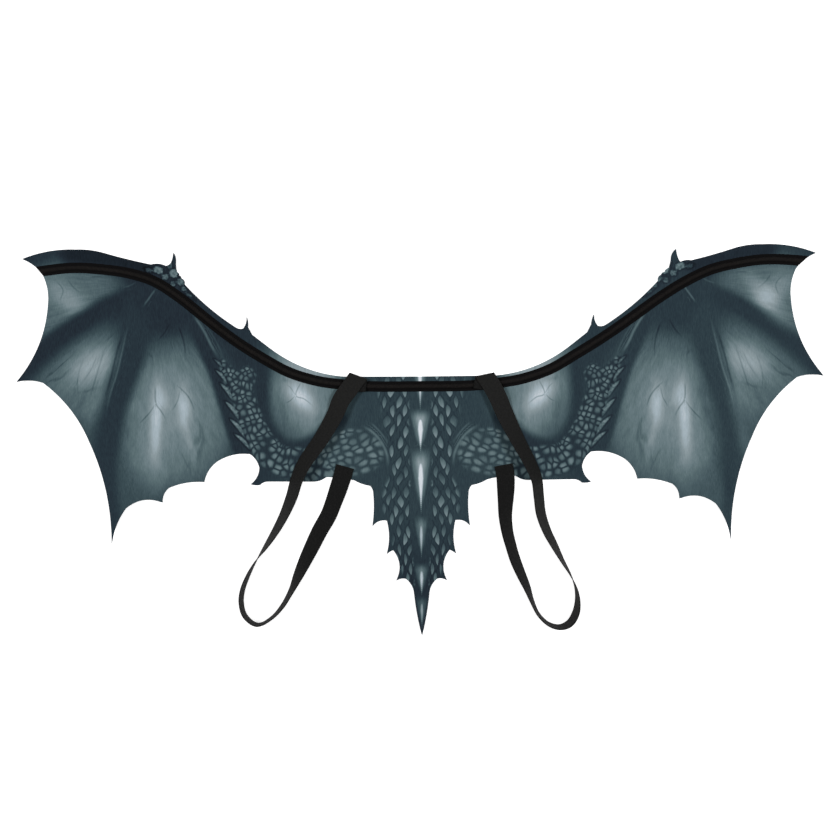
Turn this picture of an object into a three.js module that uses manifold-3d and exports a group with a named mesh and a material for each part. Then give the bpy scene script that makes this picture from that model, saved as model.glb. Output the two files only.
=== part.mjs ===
// Costume dragon wings, lying on their back with the strap side up.
//
// One sheet of felt is cut to the outline of two spread wings and a pointed tail. A fabric casing
// that holds a springy rod is sewn along the leading edge, and two elastic shoulder straps are
// sewn on over it. Each strap's upper end points up, the strap is folded down over it at the top
// edge, and it runs in a loose loop back to the bottom edge, standing on its edge round the turn.
//
// Millimetres. X runs along the span, Y up the body towards the leading edge, and Z is up from
// the surface that the wings lie on. The origin is in the middle of the rectangle that the wings
// cover, on that surface. Left and right are as seen from the strap side.

import * as THREE from "three";
import { mergeVertices } from "three/addons/utils/BufferGeometryUtils.js";
import Module from "manifold-3d";

const wasm = await Module();
wasm.setup();

// Driving sizes
const SPAN = 1100; // between the two lower wing points
const DEPTH = 531; // from the crest of the leading edge to the tail point
const FELT_THICKNESS = 2;
const CASING_WIDTH = 14.5;
const CASING_HEM = 1; // height of the casing's flat, sewn edges
const ROD_RIDGE_WIDTH = 7; // the part of the casing that the rod lifts
const ROD_RIDGE_HEIGHT = 2.4; // above the hems
const STRAP_WIDTH = 25;
const STRAP_THICKNESS = 1.3;
const SEWN_END_LENGTH = 20; // of a strap's upper end, under its fold
const GAP = 0.3; // between pieces that are sewn together

const HALF_SPAN = SPAN / 2;

// How finely curves and the sheet are divided
const EDGE_STEP = 9;
const SHEET_STEP = 22;
const CASING_STEP = 14;
const STRAP_STEP = 6;
const RIDGE_SIDES = 6;
const FOLD_STEPS = 4;

// The cut outline from the middle of the top edge out over the right wing and in again to the
// tail. The left wing mirrors it. out is a share of the half span and up a share of the depth. bow
// is how far the edge that leads to the point swells outwards, as a share of that edge's length.
// slip is how far to the right of the mirrored cut the point lies on both wings, as the leading
// edge is a little askew.
const OUTLINE = [
  { at: "middle of the top edge", out: 0, up: 0.666, bow: 0 },
  { at: "neck", out: 0.187, up: 0.667, bow: 0 },
  { at: "shoulder", out: 0.376, up: 0.744, bow: -0.075 },
  { at: "small spike's inner foot", out: 0.417, up: 0.777, bow: 0 },
  { at: "small spike's inner side", out: 0.427, up: 0.797, bow: 0 },
  { at: "small spike", out: 0.432, up: 0.823, bow: 0.05, slip: 0.002 },
  { at: "small spike's outer foot", out: 0.441, up: 0.793, bow: -0.1, slip: 0.002 },
  { at: "arm", out: 0.459, up: 0.795, bow: -0.1, slip: 0.003 },
  { at: "wrist", out: 0.589, up: 0.908, bow: -0.033, slip: 0.005 },
  { at: "first knuckle", out: 0.597, up: 0.924, bow: 0.2, slip: 0.005 },
  { at: "second knuckle", out: 0.604, up: 0.931, bow: 0.2, slip: 0.007 },
  { at: "large spike's inner foot", out: 0.612, up: 0.941, bow: 0.15, slip: 0.009 },
  { at: "large spike's inner side", out: 0.616, up: 0.971, bow: -0.04, slip: 0.011 },
  { at: "large spike", out: 0.625, up: 0.99, bow: 0.08, slip: 0.014 },
  { at: "large spike's outer side", out: 0.631, up: 0.964, bow: -0.05, slip: 0.014 },
  { at: "large spike's outer foot", out: 0.64, up: 0.956, bow: -0.1, slip: 0.01 },
  { at: "last knuckle", out: 0.672, up: 0.96, bow: 0.1, slip: 0.005 },
  { at: "forewing", out: 0.785, up: 0.991, bow: -0.01 },
  { at: "crest", out: 0.854, up: 1, bow: 0.04 },
  { at: "wing tip", out: 0.985, up: 0.976, bow: 0.055 },
  { at: "under the wing tip", out: 0.936, up: 0.937, bow: -0.075 },
  { at: "outer edge", out: 0.923, up: 0.863, bow: -0.07 },
  { at: "first lower point", out: 1, up: 0.66, bow: -0.08 },
  { at: "under the first point", out: 0.935, up: 0.657, bow: -0.08 },
  { at: "outer hollow", out: 0.824, up: 0.505, bow: -0.067 },
  { at: "second lower point", out: 0.767, up: 0.241, bow: -0.053 },
  { at: "inside the second point", out: 0.733, up: 0.333, bow: -0.068 },
  { at: "first cusp", out: 0.642, up: 0.347, bow: -0.148 },
  { at: "inside the first cusp", out: 0.626, up: 0.385, bow: -0.13 },
  { at: "second cusp", out: 0.539, up: 0.399, bow: -0.06 },
  { at: "round hollow's outer side", out: 0.506, up: 0.452, bow: -0.1 },
  { at: "round hollow's top", out: 0.424, up: 0.47, bow: -0.087 },
  { at: "round hollow's inner side", out: 0.401, up: 0.434, bow: -0.1 },
  { at: "elbow spur", out: 0.423, up: 0.392, bow: -0.12 },
  { at: "under the elbow spur", out: 0.401, up: 0.39, bow: 0.05 },
  { at: "elbow", out: 0.382, up: 0.399, bow: -0.1 },
  { at: "outside the strap", out: 0.264, up: 0.398, bow: 0 },
  { at: "between the strap's ends", out: 0.236, up: 0.409, bow: 0.08 },
  { at: "inside the strap", out: 0.164, up: 0.4, bow: -0.04 },
  { at: "hip", out: 0.126, up: 0.386, bow: 0.05 },
  { at: "side of the tail", out: 0.118, up: 0.364, bow: -0.1 },
  { at: "upper tail tooth", out: 0.121, up: 0.282, bow: -0.03 },
  { at: "under the upper tooth", out: 0.085, up: 0.296, bow: -0.15 },
  { at: "middle tail tooth", out: 0.086, up: 0.21, bow: -0.07 },
  { at: "under the middle tooth", out: 0.07, up: 0.22, bow: -0.05 },
  { at: "lower tail tooth", out: 0.063, up: 0.141, bow: -0.16 },
  { at: "under the lower tooth", out: 0.039, up: 0.146, bow: -0.11 },
  { at: "root of the tail spine", out: 0.019, up: 0.111, bow: -0.1 },
  { at: "tail point", out: 0, up: 0, bow: 0.02 },
];

// The casing's middle line from the middle outwards, with its share of the depth on the left and
// the right wing. The last row lies past the wing's edge, which cuts it off.
const CASING_LINE = [
  { out: 0, left: 0.641, right: 0.641 },
  { out: 0.124, left: 0.642, right: 0.642 },
  { out: 0.199, left: 0.649, right: 0.649 },
  { out: 0.256, left: 0.659, right: 0.659 },
  { out: 0.324, left: 0.683, right: 0.683 },
  { out: 0.388, left: 0.719, right: 0.719 },
  { out: 0.456, left: 0.763, right: 0.763 },
  { out: 0.523, left: 0.812, right: 0.812 },
  { out: 0.597, left: 0.868, right: 0.866 },
  { out: 0.66, left: 0.909, right: 0.908 },
  { out: 0.722, left: 0.932, right: 0.937 },
  { out: 0.784, left: 0.945, right: 0.954 },
  { out: 0.859, left: 0.95, right: 0.964 },
  { out: 0.943, left: 0.944, right: 0.957 },
  { out: 1.01, left: 0.933, right: 0.947 },
];

// Where the felt curls up off the surface: the height at the point itself, and how far from it
// the curl begins, both in millimetres.
const CURLS = [
  { at: "wing tip", out: 0.985, up: 0.976, rise: 5, reach: 120 },
  { at: "first lower point", out: 1, up: 0.659, rise: 9, reach: 150 },
  { at: "second lower point", out: 0.767, up: 0.241, rise: 10, reach: 150 },
  { at: "first cusp", out: 0.642, up: 0.347, rise: 2.5, reach: 60 },
  { at: "large spike", out: 0.626, up: 0.99, rise: 2, reach: 30 },
  { at: "tail point", out: 0, up: 0, rise: 6, reach: 110 },
];

// What a strap lies on, as read from the lie column below
const ON_SURFACE = 0;
const ON_FELT = 1;
const ON_CASING = 2;

// The straps' middle lines as they happen to lie, from the fold at the top edge round the turn to
// the lower sewn end. turn is the strap's turn about its own line, in degrees: 0 is flat with the
// reverse up, 90 stands on edge, and 180 is flat with the face up. lie is what is under it, and a
// share between two of these is where the strap bridges from one down to the next.
const LEFT_STRAP = [
  { out: 0.154, up: 0.667, turn: 0, lie: ON_CASING },
  { out: 0.175, up: 0.637, turn: 2, lie: ON_CASING },
  { out: 0.196, up: 0.607, turn: 10, lie: 1.75 },
  { out: 0.212, up: 0.569, turn: 21, lie: 1.15 },
  { out: 0.248, up: 0.505, turn: 32, lie: ON_FELT },
  { out: 0.288, up: 0.446, turn: 38, lie: ON_FELT },
  { out: 0.307, up: 0.405, turn: 44, lie: ON_FELT },
  { out: 0.32, up: 0.361, turn: 48, lie: 0.6 },
  { out: 0.34, up: 0.312, turn: 57, lie: 0.12 },
  { out: 0.36, up: 0.274, turn: 64, lie: ON_SURFACE },
  { out: 0.384, up: 0.235, turn: 74, lie: ON_SURFACE },
  { out: 0.41, up: 0.196, turn: 90, lie: ON_SURFACE },
  { out: 0.43, up: 0.158, turn: 101, lie: ON_SURFACE },
  { out: 0.444, up: 0.12, turn: 105, lie: ON_SURFACE },
  { out: 0.447, up: 0.089, turn: 104, lie: ON_SURFACE },
  { out: 0.438, up: 0.055, turn: 102, lie: ON_SURFACE },
  { out: 0.408, up: 0.032, turn: 99, lie: ON_SURFACE },
  { out: 0.374, up: 0.048, turn: 99, lie: ON_SURFACE },
  { out: 0.345, up: 0.08, turn: 103, lie: ON_SURFACE },
  { out: 0.323, up: 0.119, turn: 109, lie: ON_SURFACE },
  { out: 0.306, up: 0.157, turn: 124, lie: ON_SURFACE },
  { out: 0.288, up: 0.196, turn: 137, lie: ON_SURFACE },
  { out: 0.27, up: 0.234, turn: 146, lie: ON_SURFACE },
  { out: 0.251, up: 0.273, turn: 152, lie: ON_SURFACE },
  { out: 0.23, up: 0.311, turn: 155, lie: ON_SURFACE },
  { out: 0.215, up: 0.35, turn: 160, lie: 0.35 },
  { out: 0.202, up: 0.388, turn: 174, lie: ON_FELT },
  { out: 0.194, up: 0.414, turn: 180, lie: ON_FELT },
  { out: 0.188, up: 0.436, turn: 180, lie: ON_FELT },
];
const RIGHT_STRAP = [
  { out: 0.161, up: 0.668, turn: 0, lie: ON_CASING },
  { out: 0.181, up: 0.635, turn: 2, lie: ON_CASING },
  { out: 0.195, up: 0.606, turn: 8, lie: 1.75 },
  { out: 0.208, up: 0.573, turn: 16, lie: 1.15 },
  { out: 0.24, up: 0.503, turn: 36, lie: ON_FELT },
  { out: 0.268, up: 0.448, turn: 44, lie: ON_FELT },
  { out: 0.287, up: 0.4, turn: 50, lie: ON_FELT },
  { out: 0.292, up: 0.356, turn: 53, lie: 0.6 },
  { out: 0.297, up: 0.312, turn: 55, lie: 0.12 },
  { out: 0.311, up: 0.268, turn: 60, lie: ON_SURFACE },
  { out: 0.33, up: 0.229, turn: 66, lie: ON_SURFACE },
  { out: 0.349, up: 0.191, turn: 76, lie: ON_SURFACE },
  { out: 0.37, up: 0.152, turn: 85, lie: ON_SURFACE },
  { out: 0.382, up: 0.12, turn: 93, lie: ON_SURFACE },
  { out: 0.386, up: 0.087, turn: 101, lie: ON_SURFACE },
  { out: 0.381, up: 0.055, turn: 107, lie: ON_SURFACE },
  { out: 0.366, up: 0.03, turn: 106, lie: ON_SURFACE },
  { out: 0.342, up: 0.02, turn: 101, lie: ON_SURFACE },
  { out: 0.314, up: 0.028, turn: 98, lie: ON_SURFACE },
  { out: 0.289, up: 0.053, turn: 99, lie: ON_SURFACE },
  { out: 0.273, up: 0.088, turn: 104, lie: ON_SURFACE },
  { out: 0.262, up: 0.12, turn: 113, lie: ON_SURFACE },
  { out: 0.247, up: 0.156, turn: 121, lie: ON_SURFACE },
  { out: 0.233, up: 0.192, turn: 126, lie: ON_SURFACE },
  { out: 0.222, up: 0.23, turn: 128, lie: ON_SURFACE },
  { out: 0.213, up: 0.269, turn: 132, lie: ON_SURFACE },
  { out: 0.209, up: 0.308, turn: 140, lie: ON_SURFACE },
  { out: 0.21, up: 0.346, turn: 152, lie: 0.35 },
  { out: 0.211, up: 0.386, turn: 171, lie: ON_FELT },
  { out: 0.21, up: 0.412, turn: 180, lie: ON_FELT },
  { out: 0.206, up: 0.437, turn: 180, lie: ON_FELT },
];
// How steeply each fold line rises away from the middle, in degrees
const LEFT_FOLD_SLOPE = 21;
const RIGHT_FOLD_SLOPE = 11;

// Heights of the tops that pieces are laid on
const FELT_TOP = FELT_THICKNESS + GAP;
const CASING_TOP = FELT_TOP + CASING_HEM + ROD_RIDGE_HEIGHT + GAP;
const FOLDED_TOP = CASING_TOP + STRAP_THICKNESS + GAP;

// A place given in shares: side is 1 on the right wing and -1 on the left
const place = (out, up, side = 1) =>
  new THREE.Vector2(side * out * HALF_SPAN, (up - 0.5) * DEPTH);

// Height of the felt's underside above the surface
function curl(x, y) {
  let height = 0;
  for (const row of CURLS) {
    const away = place(row.out, row.up).distanceTo(new THREE.Vector2(Math.abs(x), y));
    height += row.rise * Math.max(0, 1 - away / row.reach) ** 2;
  }
  return height;
}

function toSolid(geometry) {
  const bare = new THREE.BufferGeometry();
  bare.setAttribute("position", geometry.getAttribute("position"));
  bare.setIndex(geometry.index);
  const merged = mergeVertices(bare, 1e-4);
  return new wasm.Manifold(
    new wasm.Mesh({
      numProp: 3,
      vertProperties: merged.attributes.position.array,
      triVerts: new Uint32Array(merged.index.array),
    }),
  );
}

function toGeometry(solid) {
  const mesh = solid.getMesh();
  const geometry = new THREE.BufferGeometry();
  geometry.setAttribute("position", new THREE.BufferAttribute(mesh.vertProperties, 3));
  geometry.setIndex(new THREE.BufferAttribute(mesh.triVerts, 1));
  geometry.computeVertexNormals();
  return geometry;
}

// A closed skin over rings of points, all with as many points, and flat caps on the two ends.
// Seen along the way from ring to ring, the points of a ring run clockwise. The two faces of a
// flat ring are split along the same diagonal, so that a twisted band keeps its thickness.
function loft(rings, capOutline) {
  const size = rings[0].length;
  const positions = rings.flat().flatMap((p) => [p.x, p.y, p.z]);
  const index = [];
  for (let r = 0; r + 1 < rings.length; r++) {
    for (let i = 0; i < size; i++) {
      const a = r * size + i;
      const b = r * size + ((i + 1) % size);
      if (i < size / 2) {
        index.push(a, b, a + size, b, b + size, a + size);
      } else {
        index.push(a, b, b + size, a, b + size, a + size);
      }
    }
  }
  const last = (rings.length - 1) * size;
  for (const [a, b, c] of THREE.ShapeUtils.triangulateShape(capOutline, [])) {
    index.push(c, b, a, last + a, last + b, last + c);
  }
  const geometry = new THREE.BufferGeometry();
  geometry.setAttribute("position", new THREE.Float32BufferAttribute(positions, 3));
  geometry.setIndex(index);
  return geometry;
}

// Half of the cut outline, on the right or the left, from the middle of the top edge to the tail
function halfOutline(side) {
  const corners = OUTLINE.map(({ out, up, slip = 0 }) => place(out + side * slip, up, side));
  const points = [corners[0]];
  for (let i = 1; i < OUTLINE.length; i++) {
    const from = corners[i - 1];
    const to = corners[i];
    const along = to.clone().sub(from);
    const outwards = new THREE.Vector2(-along.y, along.x).multiplyScalar(side);
    const middle = from.clone().lerp(to, 0.5).addScaledVector(outwards, 2 * OUTLINE[i].bow);
    const steps = OUTLINE[i].bow === 0 ? 1 : Math.max(2, Math.round(along.length() / EDGE_STEP));
    const curve = new THREE.QuadraticBezierCurve(from, middle, to);
    points.push(...curve.getPoints(steps).slice(1));
  }
  return points;
}

// A tall block with the wings' outline, for cutting what is sewn to it along the same edge
function outlineCutter() {
  const height = 100;
  const shape = new THREE.Shape([...halfOutline(-1), ...halfOutline(1).slice(1, -1).reverse()]);
  const block = new THREE.ExtrudeGeometry(shape, { depth: height, bevelEnabled: false, steps: 1 });
  block.translate(0, 0, -height / 2);
  return toSolid(block);
}

function wingPanel(cutter) {
  const margin = SHEET_STEP;
  const width = SPAN + margin;
  const depth = DEPTH + margin;
  const across = Math.round(width / SHEET_STEP);
  const down = Math.round(depth / SHEET_STEP);
  const sheet = new THREE.BoxGeometry(width, depth, FELT_THICKNESS, across, down, 1);
  sheet.translate(0, 0, FELT_THICKNESS / 2);
  liftWithFelt(sheet);
  return toGeometry(toSolid(sheet).intersect(cutter));
}

function liftWithFelt(geometry) {
  const points = geometry.getAttribute("position");
  for (let i = 0; i < points.count; i++) {
    points.setZ(i, points.getZ(i) + curl(points.getX(i), points.getY(i)));
  }
}

function casingSection() {
  const half = CASING_WIDTH / 2;
  const ridge = ROD_RIDGE_WIDTH / 2;
  const top = [];
  for (let i = 0; i <= RIDGE_SIDES; i++) {
    const angle = (Math.PI * i) / RIDGE_SIDES;
    const rise = ROD_RIDGE_HEIGHT * Math.sin(angle);
    top.push(new THREE.Vector2(ridge * Math.cos(angle), CASING_HEM + rise));
  }
  return [
    new THREE.Vector2(-half, 0),
    new THREE.Vector2(half, 0),
    new THREE.Vector2(half, CASING_HEM),
    ...top,
    new THREE.Vector2(-half, CASING_HEM),
  ];
}

function boningCasing(cutter) {
  const right = CASING_LINE.map((row) => place(row.out, row.right));
  const left = CASING_LINE.slice(1).map((row) => place(row.out, row.left, -1));
  const line = new THREE.SplineCurve([...left.reverse(), ...right]);
  const steps = Math.round(line.getLength() / CASING_STEP);
  const section = casingSection();
  const rings = [];
  for (let i = 0; i <= steps; i++) {
    const middle = line.getPointAt(i / steps);
    const along = line.getTangentAt(i / steps);
    rings.push(
      section.map(
        ({ x: across, y: height }) =>
          new THREE.Vector3(
            middle.x - along.y * across,
            middle.y + along.x * across,
            FELT_TOP + height,
          ),
      ),
    );
  }
  const tape = loft(rings, section);
  liftWithFelt(tape);
  return toGeometry(toSolid(tape).intersect(cutter));
}

// Height of what a strap lies on: the surface, the felt, or its own sewn end on the casing
function restHeight(lie) {
  const heights = [0, FELT_TOP, FOLDED_TOP];
  const level = THREE.MathUtils.clamp(lie, ON_SURFACE, ON_CASING);
  const low = Math.min(Math.floor(level), ON_FELT);
  return THREE.MathUtils.lerp(heights[low], heights[low + 1], level - low);
}

// The strap's cross sections: its middle, the way across it, and the way along it
function strapSections(rows, side, foldSlope) {
  const route = new THREE.CatmullRomCurve3(
    rows.map((row) => {
      const { x, y } = place(row.out, row.up, side);
      return new THREE.Vector3(x, y, 0);
    }),
    false,
    "centripetal",
  );
  const turns = rows.map((row) => THREE.MathUtils.degToRad(row.turn));
  const lies = rows.map((row) => row.lie);
  const steps = Math.round(route.getLength() / STRAP_STEP);
  const sections = [];
  for (let i = 0; i <= steps; i++) {
    const share = route.getUtoTmapping(i / steps);
    const middle = route.getPoint(share);
    const along = route.getTangent(share);
    const at = share * (rows.length - 1);
    const turn = between(turns, at);
    const inwards = new THREE.Vector3(along.y, -along.x, 0).multiplyScalar(side);
    const across = inwards.multiplyScalar(Math.cos(turn)).setZ(Math.sin(turn));
    middle.z =
      restHeight(between(lies, at)) +
      (STRAP_WIDTH / 2) * Math.abs(Math.sin(turn)) +
      (STRAP_THICKNESS / 2) * Math.abs(Math.cos(turn));
    sections.push({ middle, across, along });
  }
  return [...foldSections(sections[0], side, foldSlope), ...sections.slice(1)];
}

// Value between the numbers of a list, with the slope carried smoothly from row to row
function between(values, at) {
  const from = Math.min(Math.floor(at), values.length - 2);
  const to = from + 1;
  const before = values[Math.max(from - 1, 0)];
  const after = values[Math.min(to + 1, values.length - 1)];
  const slopeIn = (values[to] - before) / 2;
  const slopeOut = (after - values[from]) / 2;
  const s = at - from;
  const smooth = s * s * (3 - 2 * s);
  const ease = slopeIn * s * (1 - s) ** 2 - slopeOut * s * s * (1 - s);
  return values[from] + (values[to] - values[from]) * smooth + ease;
}

// The sewn end under the strap's first stretch, and the fold that joins them. Every section of
// the fold lies along the fold line, so the strap leaves it at a slant, as a folded band does.
function foldSections(first, side, foldSlope) {
  const slope = THREE.MathUtils.degToRad(foldSlope);
  const foldLine = new THREE.Vector3(-side * Math.cos(slope), -Math.sin(slope), 0);
  const away = first.along;
  const sewnWay = foldLine.clone().multiplyScalar(2 * away.dot(foldLine)).sub(away);
  const sewnAcross = new THREE.Vector3(sewnWay.y, -sewnWay.x, 0).multiplyScalar(-side);
  const skew = 1 / Math.abs(sewnAcross.dot(foldLine));
  const across = foldLine.clone().multiplyScalar(skew);
  const outwards = new THREE.Vector3(-foldLine.y, foldLine.x, 0).multiplyScalar(-side);
  const sewnHeight = CASING_TOP + STRAP_THICKNESS / 2;
  const radius = (FOLDED_TOP - CASING_TOP) / 2;
  const foldMiddle = first.middle.clone().setZ(sewnHeight);
  const start = foldMiddle.clone().addScaledVector(sewnWay, -SEWN_END_LENGTH);
  const sections = [
    { middle: start, across: sewnAcross, along: sewnWay },
    { middle: foldMiddle, across, along: outwards },
  ];
  for (let i = 1; i < FOLD_STEPS; i++) {
    const angle = (Math.PI * i) / FOLD_STEPS;
    const middle = foldMiddle.clone().addScaledVector(outwards, radius * Math.sin(angle));
    middle.z += radius * (1 - Math.cos(angle));
    const along = outwards.clone().multiplyScalar(Math.cos(angle)).setZ(Math.sin(angle));
    sections.push({ middle, across, along });
  }
  const back = outwards.clone().negate();
  sections.push({ middle: foldMiddle.clone().setZ(sewnHeight + 2 * radius), across, along: back });
  return sections;
}

function strap(rows, side, foldSlope) {
  const corners = [
    new THREE.Vector2(-STRAP_WIDTH / 2, -STRAP_THICKNESS / 2),
    new THREE.Vector2(STRAP_WIDTH / 2, -STRAP_THICKNESS / 2),
    new THREE.Vector2(STRAP_WIDTH / 2, STRAP_THICKNESS / 2),
    new THREE.Vector2(-STRAP_WIDTH / 2, STRAP_THICKNESS / 2),
  ];
  const rings = strapSections(rows, side, foldSlope).map(({ middle, across, along }) => {
    const through = new THREE.Vector3().crossVectors(along, across).normalize();
    return corners.map(({ x, y }) =>
      middle.clone().addScaledVector(across, x).addScaledVector(through, y),
    );
  });
  return loft(rings, corners);
}

function piece(name, geometry, colour, roughness) {
  const material = new THREE.MeshStandardMaterial({ color: colour, roughness, metalness: 0 });
  const mesh = new THREE.Mesh(geometry, material);
  mesh.name = name;
  return mesh;
}

const cutter = outlineCutter();
const wings = new THREE.Group();
wings.name = "dragon_wings";
wings.add(piece("wing_panel", wingPanel(cutter), 0x435761, 0.95));
wings.add(piece("boning_casing", boningCasing(cutter), 0x14110f, 0.8));
wings.add(piece("left_strap", strap(LEFT_STRAP, -1, LEFT_FOLD_SLOPE), 0x222222, 0.75));
wings.add(piece("right_strap", strap(RIGHT_STRAP, 1, RIGHT_FOLD_SLOPE), 0x222222, 0.75));

export default wings;
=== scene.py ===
# Costume dragon wings of printed felt, laid flat with the strap side up. The sections follow the
# way the wings are made: the cut felt panel with its print, the boning casing along the leading
# edge, the two shoulder straps, and then the table and the lamps of the picture.
#
# Metres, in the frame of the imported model: X along the span, Y towards the leading edge, Z up.
# Left and right are as seen from the strap side. Sizes in the print tables are in millimetres.

import math

import bpy
import numpy as np
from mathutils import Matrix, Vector, kdtree
from mathutils.geometry import delaunay_2d_cdt


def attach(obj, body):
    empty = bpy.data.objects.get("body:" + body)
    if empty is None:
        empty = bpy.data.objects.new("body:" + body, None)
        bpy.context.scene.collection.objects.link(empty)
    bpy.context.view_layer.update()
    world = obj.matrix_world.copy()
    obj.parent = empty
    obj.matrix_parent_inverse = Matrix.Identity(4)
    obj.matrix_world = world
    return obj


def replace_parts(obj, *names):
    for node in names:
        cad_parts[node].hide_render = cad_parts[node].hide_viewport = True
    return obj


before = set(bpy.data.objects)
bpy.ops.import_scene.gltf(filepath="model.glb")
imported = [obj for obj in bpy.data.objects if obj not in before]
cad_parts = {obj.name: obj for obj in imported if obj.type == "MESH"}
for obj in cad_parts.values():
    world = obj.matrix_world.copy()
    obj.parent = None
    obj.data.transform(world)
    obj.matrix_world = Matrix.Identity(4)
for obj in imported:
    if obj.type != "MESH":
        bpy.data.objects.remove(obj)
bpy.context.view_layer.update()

# Camera
# Flat goods are photographed from straight above, so the camera hangs level over the wings. It
# is turned by half a degree, as the wings lie a little askew in the picture.
CAMERA_HEIGHT = 2.4
VIEW_WIDTH = 1.150
VIEW_MIDDLE = (-0.0005, 0.0288)
CAMERA_TURN = -0.00785
SENSOR_WIDTH = 36

camera = bpy.data.objects.new("camera", bpy.data.cameras.new("camera"))
bpy.context.collection.objects.link(camera)
camera.location = (*VIEW_MIDDLE, CAMERA_HEIGHT)
camera.rotation_euler = (0, 0, CAMERA_TURN)
camera.data.sensor_width = SENSOR_WIDTH
camera.data.lens = SENSOR_WIDTH * CAMERA_HEIGHT / VIEW_WIDTH
bpy.context.scene.camera = camera
bpy.context.scene.view_settings.view_transform = "Standard"

# Wing panel
# One sheet of non-woven polyester felt, 2 mm thick, printed on both faces and then stamped out
# with a steel-rule die, so its edges are raw. Its points have curled up a little in the packet.
HALF_SPAN = 0.55
DEPTH = 0.531
FELT_THICKNESS = 0.002
EDGE_STEP = 0.003
DETAIL_SPACING = 0.0016
DETAIL_REACH = 0.0045
FINE_ROOM, PLAIN_ROOM = 0.6, 1.1  # from the cut to the first points inside, in spacings
EDGE_SWELL = 0.00025  # the raw edge swells between the two pressed faces
EDGE_ROUND = 0.0004

# The cut from the middle of the top edge out over the right wing and in again to the tail, each
# row with its share of the half span and of the depth, how far the edge that leads to it swells
# outwards as a share of its length, and how far right of the mirrored cut it lies.
OUTLINE = [
    ("middle of the top edge", 0, 0.666, 0, 0),
    ("neck", 0.187, 0.667, 0, 0),
    ("shoulder", 0.376, 0.744, -0.075, 0),
    ("small spike's inner foot", 0.417, 0.777, 0, 0),
    ("small spike's inner side", 0.427, 0.797, 0, 0),
    ("small spike", 0.432, 0.823, 0.05, 0.002),
    ("small spike's outer foot", 0.441, 0.793, -0.1, 0.002),
    ("arm", 0.459, 0.795, -0.1, 0.003),
    ("wrist", 0.589, 0.908, -0.033, 0.005),
    ("first knuckle", 0.597, 0.924, 0.2, 0.005),
    ("second knuckle", 0.604, 0.931, 0.2, 0.007),
    ("large spike's inner foot", 0.612, 0.941, 0.15, 0.009),
    ("large spike's inner side", 0.616, 0.971, -0.04, 0.011),
    ("large spike", 0.625, 0.99, 0.08, 0.014),
    ("large spike's outer side", 0.631, 0.964, -0.05, 0.014),
    ("large spike's outer foot", 0.64, 0.956, -0.1, 0.01),
    ("last knuckle", 0.672, 0.96, 0.1, 0.005),
    ("forewing", 0.785, 0.991, -0.01, 0),
    ("crest", 0.854, 1, 0.04, 0),
    ("wing tip", 0.985, 0.976, 0.055, 0),
    ("under the wing tip", 0.936, 0.937, -0.075, 0),
    ("outer edge", 0.923, 0.863, -0.07, 0),
    ("first lower point", 1, 0.66, -0.08, 0),
    ("under the first point", 0.935, 0.657, -0.08, 0),
    ("outer hollow", 0.824, 0.505, -0.067, 0),
    ("second lower point", 0.767, 0.241, -0.053, 0),
    ("inside the second point", 0.733, 0.333, -0.068, 0),
    ("first cusp", 0.642, 0.347, -0.148, 0),
    ("inside the first cusp", 0.626, 0.385, -0.13, 0),
    ("second cusp", 0.539, 0.399, -0.06, 0),
    ("round hollow's outer side", 0.506, 0.452, -0.1, 0),
    ("round hollow's top", 0.424, 0.47, -0.087, 0),
    ("round hollow's inner side", 0.401, 0.434, -0.1, 0),
    ("elbow spur", 0.423, 0.392, -0.12, 0),
    ("under the elbow spur", 0.401, 0.39, 0.05, 0),
    ("elbow", 0.382, 0.399, -0.1, 0),
    ("outside the strap", 0.264, 0.398, 0, 0),
    ("between the strap's ends", 0.236, 0.409, 0.08, 0),
    ("inside the strap", 0.164, 0.4, -0.04, 0),
    ("hip", 0.126, 0.386, 0.05, 0),
    ("side of the tail", 0.118, 0.364, -0.1, 0),
    ("upper tail tooth", 0.121, 0.282, -0.03, 0),
    ("under the upper tooth", 0.085, 0.296, -0.15, 0),
    ("middle tail tooth", 0.086, 0.21, -0.07, 0),
    ("under the middle tooth", 0.07, 0.22, -0.05, 0),
    ("lower tail tooth", 0.063, 0.141, -0.16, 0),
    ("under the lower tooth", 0.039, 0.146, -0.11, 0),
    ("root of the tail spine", 0.019, 0.111, -0.1, 0),
    ("tail point", 0, 0, 0.02, 0),
]

# Where the felt curls up: the place, the height there and how far from it the curl begins
CURLS = [
    (0.985, 0.976, 0.005, 0.120),
    (1, 0.659, 0.009, 0.150),
    (0.767, 0.241, 0.010, 0.150),
    (0.642, 0.347, 0.0025, 0.060),
    (0.626, 0.99, 0.002, 0.030),
    (0, 0, 0.006, 0.110),
]


# The print, all on one wing and mirrored onto the other, on both faces alike. A tone is a grey
# level from 0 to 1, a place is a share of the half span and of the depth, and sizes are in mm.
BODY_TONE = 0.24
WING_TONE = 0.185
TAIL_TONE = 0.18
RAW_EDGE_TONE = 0.16
BODY_TO_WING = (155, 250)  # where one tone passes into the next, from the middle outwards
TAIL_TO_BODY = (-215, -85)  # and upwards
TAIL_TO_WING = (100, 150)
SKIN_LIGHT = (0.04, 0.2)  # how much lighter than its tone the skin shows faintly, and clearly
BONE_CORE = 0.7  # the share of a bone's half width that keeps its full tone
RIGHT_PAINTED_SHEEN = 0.035  # how much a painted sheen lifts the right wing's dark parts
RIGHT_FROM = (0.12, 0.30)
DARK_PARTS = (0.22, 0.40)

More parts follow.
